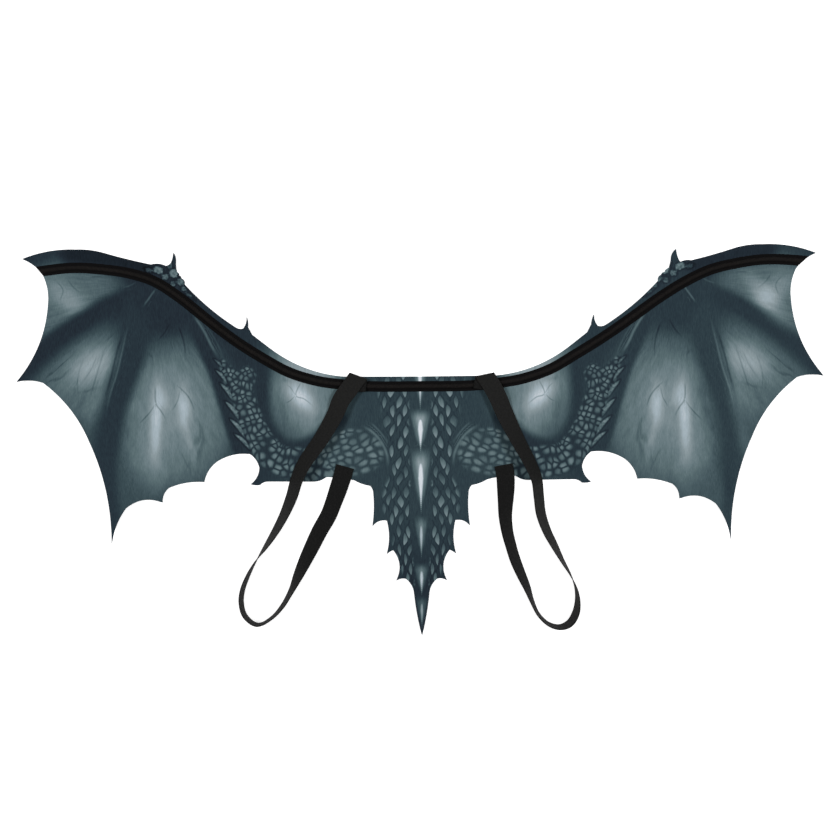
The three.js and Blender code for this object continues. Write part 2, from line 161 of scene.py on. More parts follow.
# Where the light seems to shine through the skin: place, half length and half width, the way it
# lies on the right wing in degrees, how much lighter it is, and how flat its middle is
GLOWS = [
    ("outer skin", 0.88, 0.871, 82, 55, 150, 0.18, 3),
    ("outer skin's light", 0.876, 0.876, 36, 16, 38, 0.16, 1.2),
    ("middle skin", 0.841, 0.669, 85, 57, 138, 0.17, 2.5),
    ("middle skin's light", 0.816, 0.70, 37, 22, 145, 0.25, 1.2),
    ("middle skin's foot", 0.805, 0.548, 71, 22, 105, 0.09, 2),
    ("inner skin", 0.603, 0.57, 104, 82, 90, 0.225, 3),
    ("inner skin's foot", 0.704, 0.392, 63, 41, 90, 0.10, 2),
    ("inner skin's light", 0.622, 0.585, 57, 44, 90, 0.10, 1.2),
    ("first long light", 0.658, 0.549, 51, 8, 92, 0.25, 1.2),
    ("first long light's head", 0.64, 0.619, 18, 8, 80, 0.12, 1.2),
    ("second long light", 0.588, 0.59, 30, 9, 88, 0.21, 1.2),
    ("second light's tail", 0.571, 0.492, 27, 5, 75, 0.09, 1.2),
    ("shoulder skin", 0.289, 0.622, 62, 56, 90, 0.2, 2),
    ("shoulder skin's foot", 0.262, 0.545, 28, 26, 60, 0.07, 1.2),
    ("shoulder skin's light", 0.309, 0.634, 27, 22, 30, 0.14, 1.2),
    ("shoulder skin's core", 0.294, 0.612, 21, 12, 50, 0.24, 1.2),
    ("shoulder skin's crease", 0.345, 0.60, 34, 7, 80, -0.04, 1.2),
    ("shoulder's edge", 0.289, 0.696, 57, 16, 20, 0.16, 2),
]

# What only the right wing's print has, in the same way, as two of its skins reach further
RIGHT_GLOWS = [
    ("outer skin's light", 0.857, 0.873, 38, 13, 134, 0.14, 1.5),
    ("outer skin's lower edge", 0.883, 0.813, 30, 8, 140, 0.09, 1.2),
    ("middle skin's inner edge", 0.786, 0.594, 50, 9, 102, 0.11, 1.2),
    ("middle skin's inner foot", 0.806, 0.483, 24, 9, 102, 0.08, 1.2),
    ("shadow beside the bone", 0.711, 0.590, 34, 9, 105, -0.09, 1.2),
    ("shadow under the bone", 0.743, 0.458, 50, 9, 100, -0.05, 1.2),
]

# Dark bands where bones and folds lie under the skin: the line outwards or down, its half widths
# along the way, its tone, and how far it fades on its left and on its right
BONES = [
    ("outer finger", [(0.67, 0.892), (0.73, 0.872), (0.785, 0.849), (0.82, 0.826), (0.86, 0.80),
                      (0.90, 0.772), (0.936, 0.742), (0.996, 0.686)], (8, 9, 8), 0.175, 12, 21),
    ("middle finger", [(0.681, 0.869), (0.701, 0.805), (0.711, 0.753), (0.719, 0.71),
                       (0.737, 0.658), (0.755, 0.607), (0.77, 0.55), (0.781, 0.496),
                       (0.786, 0.445), (0.781, 0.38), (0.77, 0.264)], (15, 10, 7), 0.2, 20, 14),
    ("arm's shadow", [(0.621, 0.894), (0.562, 0.811), (0.535, 0.744), (0.51, 0.677),
                      (0.491, 0.61), (0.474, 0.545), (0.457, 0.486)], (12, 6, 4), 0.185, 7, 14),
    ("wrist's shadow", [(0.646, 0.882), (0.63, 0.835)], (27, 15), 0.18, 27, 27),
    ("shoulder's shadow", [(0.393, 0.697), (0.394, 0.609), (0.384, 0.544), (0.34, 0.487),
                           (0.29, 0.487), (0.235, 0.52), (0.20, 0.56)], (4, 4, 5), 0.19, 12, 14),
    ("forewing", [(0.695, 0.959), (0.769, 0.981), (0.86, 0.992)], (11, 11, 9), 0.13, 14, 22),
]

# The band of scales down the arm from the wrist, round the elbow and in to the body
ARM = [(0.50, 0.718), (0.473, 0.674), (0.448, 0.635), (0.434, 0.596), (0.417, 0.545),
       (0.395, 0.501), (0.363, 0.459), (0.30, 0.443), (0.23, 0.437)]
ARM_HALF_WIDTHS = (3, 13, 16, 17, 18, 20, 22, 23, 22)
ARM_SCALE_PITCH = 6.0
ARM_SCALE_GROWTH = 0.024
ARM_CORNER = (0.43, 0.668, 12, 15, 0)  # a patch that stands off the band, as an ellipse
HIP_MOUND = (0.172, 0.472)
HIP_MOUND_SIZE = (45, 33)
HIP_LEAN = 18
HIP_SCALE_PITCH = (13.2, 8.6)
HIP_SCALE_GROWTH = (0.083, 0.028)

# Pale leaf-shaped spikes along the arm's outer side, from root to point, and how wide they are
ARM_SPIKES = [
    ((0.514, 0.717), (0.489, 0.688), 1.9),
    ((0.510, 0.689), (0.478, 0.648), 2.7),
    ((0.499, 0.655), (0.465, 0.606), 3.2),
    ((0.487, 0.608), (0.450, 0.557), 3.4),
    ((0.476, 0.563), (0.436, 0.511), 3.4),
    ((0.465, 0.524), (0.422, 0.478), 3.2),
]
SPIKE_BEND = 0.07
SPIKE_TONES = (0.47, 0.35)  # at the root and at the point

# Pale knobs on the wrist: the place, half length, half width, lean and tone. Their edges are
# uneven by a few millimetres, unlike those of the spikes.
KNUCKLES = [
    (0.672, 0.946, 6.6, 3.6, 20, 0.27),
    (0.649, 0.946, 8.0, 5.6, 30, 0.40),
    (0.632, 0.928, 5.6, 5.0, 0, 0.33),
    (0.621, 0.957, 4.0, 6.0, 0, 0.29),
    (0.611, 0.937, 6.4, 7.0, 0, 0.41),
    (0.613, 0.910, 5.0, 4.0, 0, 0.31),
    (0.594, 0.915, 6.2, 4.8, 50, 0.37),
    (0.586, 0.897, 4.8, 3.8, 40, 0.32),
    (0.573, 0.881, 9.0, 2.8, 40, 0.26),
]
KNUCKLE_UNEVENNESS = 3

# Fine lines: the line, its half width, and how much lighter or darker it is
LINES = [
    ([(0.654, 0.90), (0.672, 0.874), (0.690, 0.848)], 1.5, 0.13),
    ([(0.702, 0.917), (0.718, 0.907), (0.74, 0.90)], 1.3, 0.06),
    ([(0.722, 0.82), (0.743, 0.725), (0.754, 0.679), (0.771, 0.625), (0.786, 0.55)], 1.6, 0.09),
    ([(0.737, 0.79), (0.756, 0.725), (0.770, 0.665), (0.788, 0.60)], 1.7, -0.08),
    ([(0.568, 0.838), (0.536, 0.787), (0.519, 0.751), (0.497, 0.712)], 2.2, 0.16),
    ([(0.548, 0.822), (0.517, 0.78), (0.497, 0.74), (0.482, 0.70)], 1.4, 0.05),
    ([(0.150, 0.543), (0.123, 0.527), (0.103, 0.506), (0.091, 0.485), (0.083, 0.462),
      (0.081, 0.425)], 2.2, 0.16),
    ([(0.128, 0.552), (0.107, 0.532), (0.09, 0.51), (0.078, 0.488)], 1.5, 0.09),
    ([(0.154, 0.532), (0.128, 0.515), (0.110, 0.493), (0.102, 0.464)], 2.4, -0.06),
    ([(0.659, 0.65), (0.657, 0.601), (0.645, 0.583), (0.630, 0.555)], 1.2, -0.17),
    ([(0.657, 0.604), (0.673, 0.579), (0.704, 0.545)], 1.1, -0.11),
    ([(0.608, 0.652), (0.576, 0.618), (0.560, 0.577)], 1.2, -0.13),
    ([(0.597, 0.64), (0.603, 0.61), (0.619, 0.58)], 1.0, -0.11),
    ([(0.602, 0.808), (0.586, 0.756), (0.583, 0.706)], 1.3, -0.07),
    ([(0.620, 0.812), (0.634, 0.785), (0.655, 0.76)], 1.2, -0.05),
    ([(0.294, 0.66), (0.309, 0.619), (0.289, 0.611), (0.262, 0.588)], 1.0, -0.17),
    ([(0.309, 0.622), (0.324, 0.606), (0.336, 0.60)], 0.9, -0.12),
    ([(0.309, 0.618), (0.323, 0.641), (0.334, 0.65)], 0.9, -0.10),
    ([(0.782, 0.75), (0.802, 0.684), (0.823, 0.612)], 1.2, -0.08),
    ([(0.800, 0.735), (0.818, 0.690), (0.842, 0.655)], 1.1, -0.07),
    ([(0.834, 0.725), (0.851, 0.668), (0.848, 0.61)], 1.2, -0.06),
    ([(0.903, 0.920), (0.886, 0.896), (0.897, 0.862)], 1.1, -0.08),
    ([(0.876, 0.926), (0.860, 0.903), (0.838, 0.885)], 1.1, -0.06),
]

# The pale lances down the spine, each from its top to its point, with its half width and tone
LANCES = [
    (0.70, 0.577, 3.2, 0.86),
    (0.557, 0.468, 3.9, 0.87),
    (0.444, 0.311, 3.9, 0.86),
    (0.283, 0.196, 2.5, 0.72),
    (0.166, 0.100, 2.8, 0.76),
    (0.082, 0.018, 2.2, 0.62),
]
LANCE_SHAPE = ((0, 0.03, 0.12, 0.3, 1), (0, 0.45, 0.8, 1, 0))

# The half width in mm of the broadest lance's halo, from above the lance to its point, and
# where along the lance the light comes and goes
HALO_SHAPE = ((-0.3, 0, 0.5, 0.9), (15, 13, 7.5, 1.5))
HALO_LIGHT = (-0.34, 0.04, 0.5, 0.95)
BROADEST_LANCE, PALEST_LANCE = 3.9, 0.87
SPINE_DETAILS = (0.02, 0.67, 0.005)  # from, to and how close the mesh is made finer for them

# The staggered columns of small scales beside the spine, and how far out they reach at each height
FIRST_COLUMN = 21
COLUMN_SPACING = 8.8
SCALE_PERIOD = 27
COLUMNS_TAPER = ((0.08, 0.2, 0.42), (0.55, 0.74, 1))  # they draw together down the tail
SCALES_REACH = ((0, 0.08, 0.12, 0.165, 0.23, 0.27, 0.33, 0.37, 0.42, 0.47, 0.54, 0.6, 0.7),
                (0, 5, 17, 27, 40, 38, 54, 52, 41, 43, 49, 56, 64))


# Streaks in the skin fan out from the wrist, and run straight up on the body. A radian of the
# fan is as wide as this length, and along a streak the pattern is stretched by this share.
WRIST = (0.67, 0.9075)
WING_FROM = 238
FAN_RADIUS = 150
FAN_STRETCH = 0.22
BODY_STREAKS_OFF = 500  # keeps the body's streaks away from the wing's part of the pattern


def place(out, up, side=1):
    return np.array([side * out * HALF_SPAN, (up - 0.5) * DEPTH])


def smooth(value, low, high):
    share = np.clip((value - low) / (high - low), 0, 1)
    return share * share * (3 - 2 * share)


def smooth_route(rows, step):
    """Evenly spaced places on a smooth curve through the rows, and the row that each is at"""
    knots = np.array(rows, float)
    knots = np.vstack([2 * knots[0] - knots[1], knots, 2 * knots[-1] - knots[-2]])

    def at(row):
        i = np.minimum(row.astype(int), len(rows) - 2)
        s = (row - i)[:, None]
        p0, p1, p2, p3 = (knots[i + k] for k in range(4))
        d0, d1, d2 = (
            np.sqrt(np.linalg.norm(b - a, axis=1))[:, None]
            for a, b in ((p0, p1), (p1, p2), (p2, p3))
        )
        leave = ((p1 - p0) / d0 - (p2 - p0) / (d0 + d1) + (p2 - p1) / d1) * d1
        reach = ((p2 - p1) / d1 - (p3 - p1) / (d1 + d2) + (p3 - p2) / d2) * d1
        bend = -3 * p1 + 3 * p2 - 2 * leave - reach
        return p1 + leave * s + bend * s**2 + (2 * p1 - 2 * p2 + leave + reach) * s**3

    fine_rows = np.linspace(0, len(rows) - 1, 24 * (len(rows) - 1) + 1)
    lengths = np.linalg.norm(np.diff(at(fine_rows), axis=0), axis=1)
    run_length = np.concatenate([[0], np.cumsum(lengths)])
    count = max(2, round(run_length[-1] / step))
    even_rows = np.interp(np.linspace(0, run_length[-1], count + 1), run_length, fine_rows)
    return at(even_rows), even_rows


def print_line(rows, step=4):
    return smooth_route([place(out, up) * 1000 for out, up in rows], step)[0]


def spike_line(root, tip):
    """Along a leaf-shaped spike, which bulges up and towards the spine"""
    start, end = place(*root) * 1000, place(*tip) * 1000
    bulge = (end - start)[::-1] * (SPIKE_BEND, -SPIKE_BEND)
    return smooth_route([start, (start + end) / 2 + bulge, end], 2)[0]


def felt_lift(points):
    lift = np.zeros(len(points))
    mirrored = np.abs(points[:, :2] * (1, 0)) + points[:, :2] * (0, 1)
    for out, up, rise, reach in CURLS:
        away = np.linalg.norm(mirrored - place(out, up), axis=1)
        lift += rise * np.maximum(0, 1 - away / reach) ** 2
    return lift


def half_cut(side):
    corners = [place(out + side * slip, up, side) for name, out, up, bow, slip in OUTLINE]
    points = [corners[0]]
    bows = [bow for name, out, up, bow, slip in OUTLINE]
    for start, end, bow in zip(corners, corners[1:], bows[1:]):
        along = end - start
        outwards = np.array([-along[1], along[0]]) * side
        middle = (start + end) / 2 + outwards * 2 * bow
        steps = max(2, round(np.linalg.norm(along) / EDGE_STEP))
        for share in np.arange(1, steps + 1) / steps:
            near = start * (1 - share) + middle * share
            far = middle * (1 - share) + end * share
            points.append(near * (1 - share) + far * share)
    return points


def find_tree(points):
    tree = kdtree.KDTree(len(points))
    for i, (x, y) in enumerate(points):
        tree.insert((x, y, 0), i)
    tree.balance()
    return tree


def sheet_face(loop, details):
    """The corners and triangles of a flat cut, edge first, and finer near the print's details"""
    edge_tree, detail_tree = find_tree(loop), find_tree(details)
    ahead = np.roll(loop, -1, axis=0)
    inner = []
    rows = np.arange(loop[:, 1].min(), loop[:, 1].max(), DETAIL_SPACING * math.sqrt(0.75))
    for row, y in enumerate(rows):
        crossing = (loop[:, 1] > y) != (ahead[:, 1] > y)
        a, b = loop[crossing], ahead[crossing]
        sides = np.sort(a[:, 0] + (y - a[:, 1]) / (b[:, 1] - a[:, 1]) * (b[:, 0] - a[:, 0]))
        for left, right in zip(sides[::2], sides[1::2]):
            first = math.ceil(left / DETAIL_SPACING - row % 2 / 2)
            last = math.floor(right / DETAIL_SPACING - row % 2 / 2)
            for column in range(first, last + 1):
                x = (column + row % 2 / 2) * DETAIL_SPACING
                plain = row % 2 == 0 and (column - row // 2) % 2 == 0
                fine = detail_tree.find((abs(x), y, 0))[2] < DETAIL_REACH
                room = DETAIL_SPACING * (FINE_ROOM if fine else PLAIN_ROOM)
                if (plain or fine) and edge_tree.find((x, y, 0))[2] > room:
                    inner.append((x, y))
    points = np.vstack([loop, np.array(inner)])
    edges = [(i, (i + 1) % len(loop)) for i in range(len(loop))]
    found = delaunay_2d_cdt([v[:2] for v in (points * 1000).tolist()], edges, [], 1, 1e-5)
    source = np.array([origins[0] for origins in found[3]])
    triangles = source[np.array(found[2])]
    a, b, c = (points[triangles[:, k]] for k in range(3))
    turn = (b - a)[:, 0] * (c - a)[:, 1] - (b - a)[:, 1] * (c - a)[:, 0]
    triangles[turn < 0] = triangles[turn < 0][:, ::-1]
    return points, triangles


def make_object(name, points, faces, sharp=50):
    mesh = bpy.data.meshes.new(name)
    mesh.from_pydata([tuple(p) for p in points.tolist()], [], faces)
    mesh.polygons.foreach_set("use_smooth", [True] * len(mesh.polygons))
    mesh.set_sharp_from_angle(angle=math.radians(sharp))
    mesh.update()
    piece = bpy.data.objects.new(name, mesh)
    bpy.context.collection.objects.link(piece)
    return piece


cut = np.array(half_cut(-1) + half_cut(1)[1:-1][::-1])
behind, before = np.roll(cut, 1, axis=0), np.roll(cut, -1, axis=0)
run = before - behind
away = np.column_stack([run[:, 1], -run[:, 0]]) / np.linalg.norm(run, axis=1)[:, None]
clockwise = np.cross(cut, before).sum() < 0
if clockwise:
    away = -away

details = [spike_line(root, tip) for root, tip, wide in ARM_SPIKES]
details += [print_line(rows, 2) for rows, wide, change in LINES]
details += [place(*row[:2])[None] * 1000 for row in KNUCKLES]
details += [place(0, up)[None] * 1000 for up in np.arange(*SPINE_DETAILS)]
face_points, triangles = sheet_face(cut, np.vstack(details) / 1000)
count = len(face_points)
swollen = cut + away * EDGE_SWELL
flat_points = np.vstack([face_points, face_points, swollen, swollen])
height = np.concatenate([
    np.full(count, FELT_THICKNESS),
    np.zeros(count),
    np.full(len(cut), FELT_THICKNESS - EDGE_ROUND),
    np.full(len(cut), EDGE_ROUND),
])
panel_points = np.column_stack([flat_points, height + felt_lift(flat_points)])
upper_ring, lower_ring = 2 * count, 2 * count + len(cut)
panel_faces = triangles.tolist() + (triangles[:, ::-1] + count).tolist()
for i in range(len(cut)):
    j = (i + 1) % len(cut)
    levels = [(i, j), (upper_ring + i, upper_ring + j), (lower_ring + i, lower_ring + j)]
    levels.append((count + i, count + j))
    for (a, b), (c, d) in zip(levels, levels[1:]):
        panel_faces.append((a, b, d, c) if clockwise else (b, a, c, d))
panel = make_object("felt_panel", panel_points, panel_faces)


def nearest(line, points):
    """How far each point is from a line, where along it that is, in mm, and on which side"""
    lengths = np.linalg.norm(np.diff(line, axis=0), axis=1)
    starts = np.concatenate([[0], np.cumsum(lengths)])
    distance, run = np.full(len(points), np.inf), np.zeros(len(points))
    side = np.ones(len(points))
    for a, b, length, start in zip(line, line[1:], lengths, starts):
        along = (b - a) / length
        run_along = np.clip((points - a) @ along, 0, length)
        off = points - a - run_along[:, None] * along
        far = np.linalg.norm(off, axis=1)
        closer = far < distance
        distance[closer] = far[closer]
        run[closer] = start + run_along[closer]
        side[closer] = np.where(along[0] * off[closer, 1] > along[1] * off[closer, 0], 1, -1)
    return distance, run / starts[-1], side, starts[-1]


def in_ellipse(spot, out, up, long, wide, lean):
    """How far each point is from an ellipse's middle, in units of its edge"""
    lean = math.radians(lean)
    off = spot - place(out, up) * 1000
    u = off @ (math.cos(lean), math.sin(lean)) / long
    v = off @ (-math.sin(lean), math.cos(lean)) / wide
    return np.hypot(u, v)


def skin_tones(spot):
    """The soft lights and shadows, and how clearly skin shows between the bones"""
    tone = BODY_TONE + (WING_TONE - BODY_TONE) * smooth(spot[:, 0], *BODY_TO_WING)
    tail = (1 - smooth(spot[:, 1], *TAIL_TO_BODY)) * (1 - smooth(spot[:, 0], *TAIL_TO_WING))
    tone += (TAIL_TONE - tone) * tail
    dark = tone.copy()
    for name, *ellipse, gain, flatness in GLOWS:
        tone += gain * np.exp(-in_ellipse(spot, *ellipse) ** (2 * flatness))
    for name, rows, widths, shade, left, right in BONES:
        distance, share, side, length = nearest(print_line(rows), spot)
        width = np.interp(share, np.linspace(0, 1, len(widths)), widths)
        fade = np.where(side > 0, left, right)
        tone += (shade - tone) * (1 - smooth(distance, width * BONE_CORE, width + fade))
    return tone, smooth(tone - dark, *SKIN_LIGHT)


def scaled_arm(spot):
    """Places on the arm in widths of its scales, which grow on the way down, and its cover"""
    distance, share, side, length = nearest(print_line(ARM), spot)
    pitch = ARM_SCALE_PITCH + ARM_SCALE_GROWTH * share * length
    width = np.interp(share, np.linspace(0, 1, len(ARM_HALF_WIDTHS)), ARM_HALF_WIDTHS)
    cover = 1 - smooth(distance, width - 3, width + 1)
    cover *= smooth(share, 0, 0.02)
    corner = in_ellipse(spot, *ARM_CORNER)
    cover = np.maximum(cover, 1 - smooth(corner, 0.8, 1.1))
    return np.column_stack([
        np.log(pitch) / ARM_SCALE_GROWTH, side * distance / pitch, cover
    ])


def scaled_hip(spot):
    """The same for the mound at the hip, whose scales lie in rows that rise to the spine"""
    lean = math.radians(HIP_LEAN)
    off = spot - place(*HIP_MOUND) * 1000
    u = off @ (-math.cos(lean), math.sin(lean))
    v = off @ (math.sin(lean), math.cos(lean))
    long = HIP_SCALE_PITCH[0] + HIP_SCALE_GROWTH[0] * u
    high = HIP_SCALE_PITCH[1] + HIP_SCALE_GROWTH[1] * u
    edge = in_ellipse(spot, *HIP_MOUND, *HIP_MOUND_SIZE, 0)
    return np.column_stack([
        np.log(np.maximum(long, 4)) / HIP_SCALE_GROWTH[0], v / high, 1 - smooth(edge, 0.86, 1.06)
    ])


def raised_marks(spot):
    """How deep each point lies in a pale spike or knob, the tone there and how rough its edge"""
    depth, tone, uneven = np.full(len(spot), -9.0), np.full(len(spot), 0.3), np.zeros(len(spot))
    for root, tip, wide in ARM_SPIKES:
        distance, share, side, length = nearest(spike_line(root, tip), spot)
        inside = wide * (4 * share * (1 - share)) ** 0.8 - distance
        own_tone = SPIKE_TONES[0] + (SPIKE_TONES[1] - SPIKE_TONES[0]) * share
        tone = np.where(inside > depth, own_tone, tone)
        uneven = np.where(inside > depth, 0, uneven)
        depth = np.maximum(depth, inside)
    for out, up, long, wide, lean, pale in KNUCKLES:
        inside = (1 - in_ellipse(spot, out, up, long, wide, lean)) * min(long, wide)
        tone = np.where(inside > depth, pale, tone)
        uneven = np.where(inside > depth, KNUCKLE_UNEVENNESS, uneven)
        depth = np.maximum(depth, inside)
    return np.column_stack([depth, tone, uneven])


def fine_lines(spot):
    """The nearest fine line: how far to its side, its half width and how much it changes"""
    nearest_line = np.column_stack([np.full(len(spot), 9.0), np.ones(len(spot)),
                                    np.zeros(len(spot))])
    closest = np.full(len(spot), np.inf)
    for rows, wide, change in LINES:
        distance, share, side, length = nearest(print_line(rows, 2), spot)
        present = smooth(share, 0, 0.25) * (1 - smooth(share, 0.65, 1))
        present *= 1 - smooth(distance, 3 * wide, 3 * wide + 2)
        chosen = (distance - wide < closest) & (present > 0)
        closest[chosen] = (distance - wide)[chosen]
        row = np.column_stack([side * distance, np.full(len(spot), wide), change * present])
        nearest_line[chosen] = row[chosen]
    return nearest_line


def spine_lances(spot):
    """Half widths of the lance and of its halo at each height, and their tones"""
    up = spot[:, 1] / 1000 / DEPTH + 0.5
    lance, lance_tone = np.full(len(spot), -3.0), np.full(len(spot), 0.8)
    halo, halo_gain = np.full(len(spot), -3.0), np.zeros(len(spot))
    for top, bottom, width, pale in LANCES:
        down = (top - up) / (top - bottom)
        on_lance = (down >= 0) & (down <= 1)
        lance = np.where(on_lance, np.interp(down, *LANCE_SHAPE) * width, lance)
        near = (down > -0.2) & (down < 1.1)
        lance_tone = np.where(near, pale, lance_tone)
        in_halo = (down >= HALO_LIGHT[0]) & (down <= HALO_LIGHT[3])
        halo_width = np.interp(down, *HALO_SHAPE) * width / BROADEST_LANCE
        halo = np.where(in_halo, halo_width, halo)
        light = smooth(down, *HALO_LIGHT[:2]) * (1 - smooth(down, *HALO_LIGHT[2:]))
        light *= pale / PALEST_LANCE
        halo_gain = np.where(in_halo, light, halo_gain)
    return lance, lance_tone, halo, halo_gain


def spine_columns(spot):
    up = spot[:, 1] / 1000 / DEPTH + 0.5
    reach = np.interp(up, *SCALES_REACH)
    taper = np.interp(up, *COLUMNS_TAPER)
    cover = (1 - smooth(spot[:, 0], reach - 4, reach + 3)) * smooth(spot[:, 0] / taper, 15, 17)
    return np.column_stack([
        (spot[:, 0] / taper - FIRST_COLUMN) / COLUMN_SPACING, spot[:, 1] / SCALE_PERIOD, cover
    ])


def paint(points):
    """The print at each point, as the values that the ink's nodes read"""
    spot = np.column_stack([np.abs(points[:, 0]), points[:, 1]]) * 1000
    tone, skin = skin_tones(spot)
    for name, *ellipse, gain, flatness in RIGHT_GLOWS:
        glow = gain * np.exp(-in_ellipse(spot, *ellipse) ** (2 * flatness))
        tone += np.where(points[:, 0] > 0, glow, 0)
    # A painted sheen lifts the dark parts of the right wing's print
    tone += RIGHT_PAINTED_SHEEN * smooth(points[:, 0], *RIGHT_FROM) * (1 - smooth(tone, *DARK_PARTS))
    tone[upper_ring:] = RAW_EDGE_TONE
    off = spot - place(*WRIST) * 1000
    on_wing = spot[:, 0] > WING_FROM
    far, height = np.linalg.norm(off, axis=1), spot[:, 1]
    fan = np.column_stack([
        np.where(on_wing, np.arctan2(off[:, 1], off[:, 0]) * FAN_RADIUS, spot[:, 0]),
        np.where(on_wing, far * FAN_STRETCH, height * FAN_STRETCH + BODY_STREAKS_OFF),
        np.zeros(len(spot)),
    ])
    lance, lance_tone, halo, halo_gain = spine_lances(spot)
    return {
        "tone": tone,
        "skin": skin,
        "spot": np.column_stack([spot / 1000, np.zeros(len(spot))]),
        "fan": fan / 1000,
        "arm_scales": scaled_arm(spot),
        "hip_scales": scaled_hip(spot),
        "marks": raised_marks(spot),
        "lines": fine_lines(spot),
        "lances": np.column_stack([lance, lance_tone, np.zeros(len(spot))]),
        "halos": np.column_stack([halo, halo_gain, np.zeros(len(spot))]),
        "columns": spine_columns(spot),
    }


def set_values(piece, name, values):
    kind, field = ("FLOAT", "value") if values.ndim == 1 else ("FLOAT_VECTOR", "vector")
    attribute = piece.data.attributes.new(name, kind, "POINT")
    attribute.data.foreach_set(field, values.astype(np.float32).ravel())


painted = paint(flat_points)
for name, values in painted.items():
    set_values(panel, name, values)


def linear(hex_colour):
    """An sRGB hex colour as linear red, green, blue and opaque"""
    parts = [int(hex_colour[i : i + 2], 16) / 255 for i in (1, 3, 5)]
    return [p / 12.92 if p <= 0.04045 else ((p + 0.055) / 1.055) ** 2.4 for p in parts] + [1]


def add(tree, kind, inputs=None, **settings):
    """A node with its settings; each input is a number, a colour, or a node or socket to link"""
    node = tree.nodes.new(kind)
    for name, value in settings.items():
        setattr(node, name, value)
    for name, value in (inputs or {}).items():
        if isinstance(value, bpy.types.Node):
            value = value.outputs[0]
        if isinstance(value, bpy.types.NodeSocket):
            tree.links.new(value, node.inputs[name])
        else:
            node.inputs[name].default_value = value
    return node


def new_material(name, roughness, specular):
    material = bpy.data.materials.new(name)
    material.use_nodes = True
    tree = material.node_tree
    tree.nodes.clear()
    shader = add(tree, "ShaderNodeBsdfPrincipled",
                 {"Roughness": roughness, "Specular IOR Level": specular})
    add(tree, "ShaderNodeOutputMaterial", {"Surface": shader})
    return material, tree, shader


# Printed polyester felt: a matt mat of fibres that takes the ink unevenly, so that the smooth
# print is broken up by a fine upright grain and a soft nap.
felt, tree, shader = new_material("printed polyester felt", 0.95, 0.03)
MATH, RANGE, MIX = "ShaderNodeMath", "ShaderNodeMapRange", "ShaderNodeMix"
NOISE, VORONOI, SPLIT = "ShaderNodeTexNoise", "ShaderNodeTexVoronoi", "ShaderNodeSeparateXYZ"
SOFT, MINUS = {"interpolation_type": "SMOOTHSTEP"}, {"operation": "SUBTRACT"}
TIMES, TIMES_PLUS = {"operation": "MULTIPLY"}, {"operation": "MULTIPLY_ADD"}
STREAKS_DEEP, VEINS_DEEP, GRAIN_DEEP = 0.15, -0.06, 0.11  # tone between their two ends
read = {name: add(tree, "ShaderNodeAttribute", attribute_name=name) for name in painted}
spot, fan = read["spot"].outputs["Vector"], read["fan"].outputs["Vector"]
skin = read["skin"].outputs["Fac"]

# Streaks in the skin, about 6 mm apart and 27 mm long
streaks = add(tree, NOISE, {"Vector": fan, "Scale": 170, "Detail": 4, "Roughness": 0.6})
streaked = add(tree, MATH, {0: streaks, 1: 0.5}, **MINUS)
streaked = add(tree, MATH, {0: streaked, 1: skin}, **TIMES)
tone = add(tree, MATH, {0: streaked, 1: STREAKS_DEEP, 2: read["tone"].outputs["Fac"]},
           **TIMES_PLUS)

# Faint dark veins between the drawn ones, about 1.2 mm wide, that come and go
warp = add(tree, NOISE, {"Vector": fan, "Scale": 90, "Detail": 2})
warped = add(tree, "ShaderNodeVectorMath", {0: warp.outputs["Color"], 1: (0.012, 0.008, 0)},
             **TIMES)
warped = add(tree, "ShaderNodeVectorMath", {0: warped, 1: fan}, operation="ADD")
cells = add(tree, VORONOI, {"Vector": warped, "Scale": 38, "Randomness": 1.0},
            feature="DISTANCE_TO_EDGE")
vein = add(tree, RANGE, {"Value": cells.outputs["Distance"], 1: 0.0, 2: 0.045, 3: 1, 4: 0}, **SOFT)
patches = add(tree, NOISE, {"Vector": fan, "Scale": 45, "Detail": 1})
present = add(tree, RANGE, {"Value": patches, 1: 0.5, 2: 0.62, 3: 0, 4: 1})
vein = add(tree, MATH, {0: vein, 1: present}, **TIMES)
vein = add(tree, MATH, {0: vein, 1: skin}, **TIMES)
tone = add(tree, MATH, {0: vein, 1: VEINS_DEEP, 2: tone}, **TIMES_PLUS)

# The drawn veins, folds and scratches
parts = add(tree, SPLIT, {0: read["lines"].outputs["Vector"]})
beside = add(tree, MATH, {0: parts.outputs[0], 1: parts.outputs[1]}, operation="DIVIDE")
beside = add(tree, MATH, {0: beside}, operation="ABSOLUTE")
line = add(tree, RANGE, {"Value": beside, 1: 0, 2: 1.5, 3: 1, 4: 0}, **SOFT)
tone = add(tree, MATH, {0: line, 1: parts.outputs[2], 2: tone}, **TIMES_PLUS)

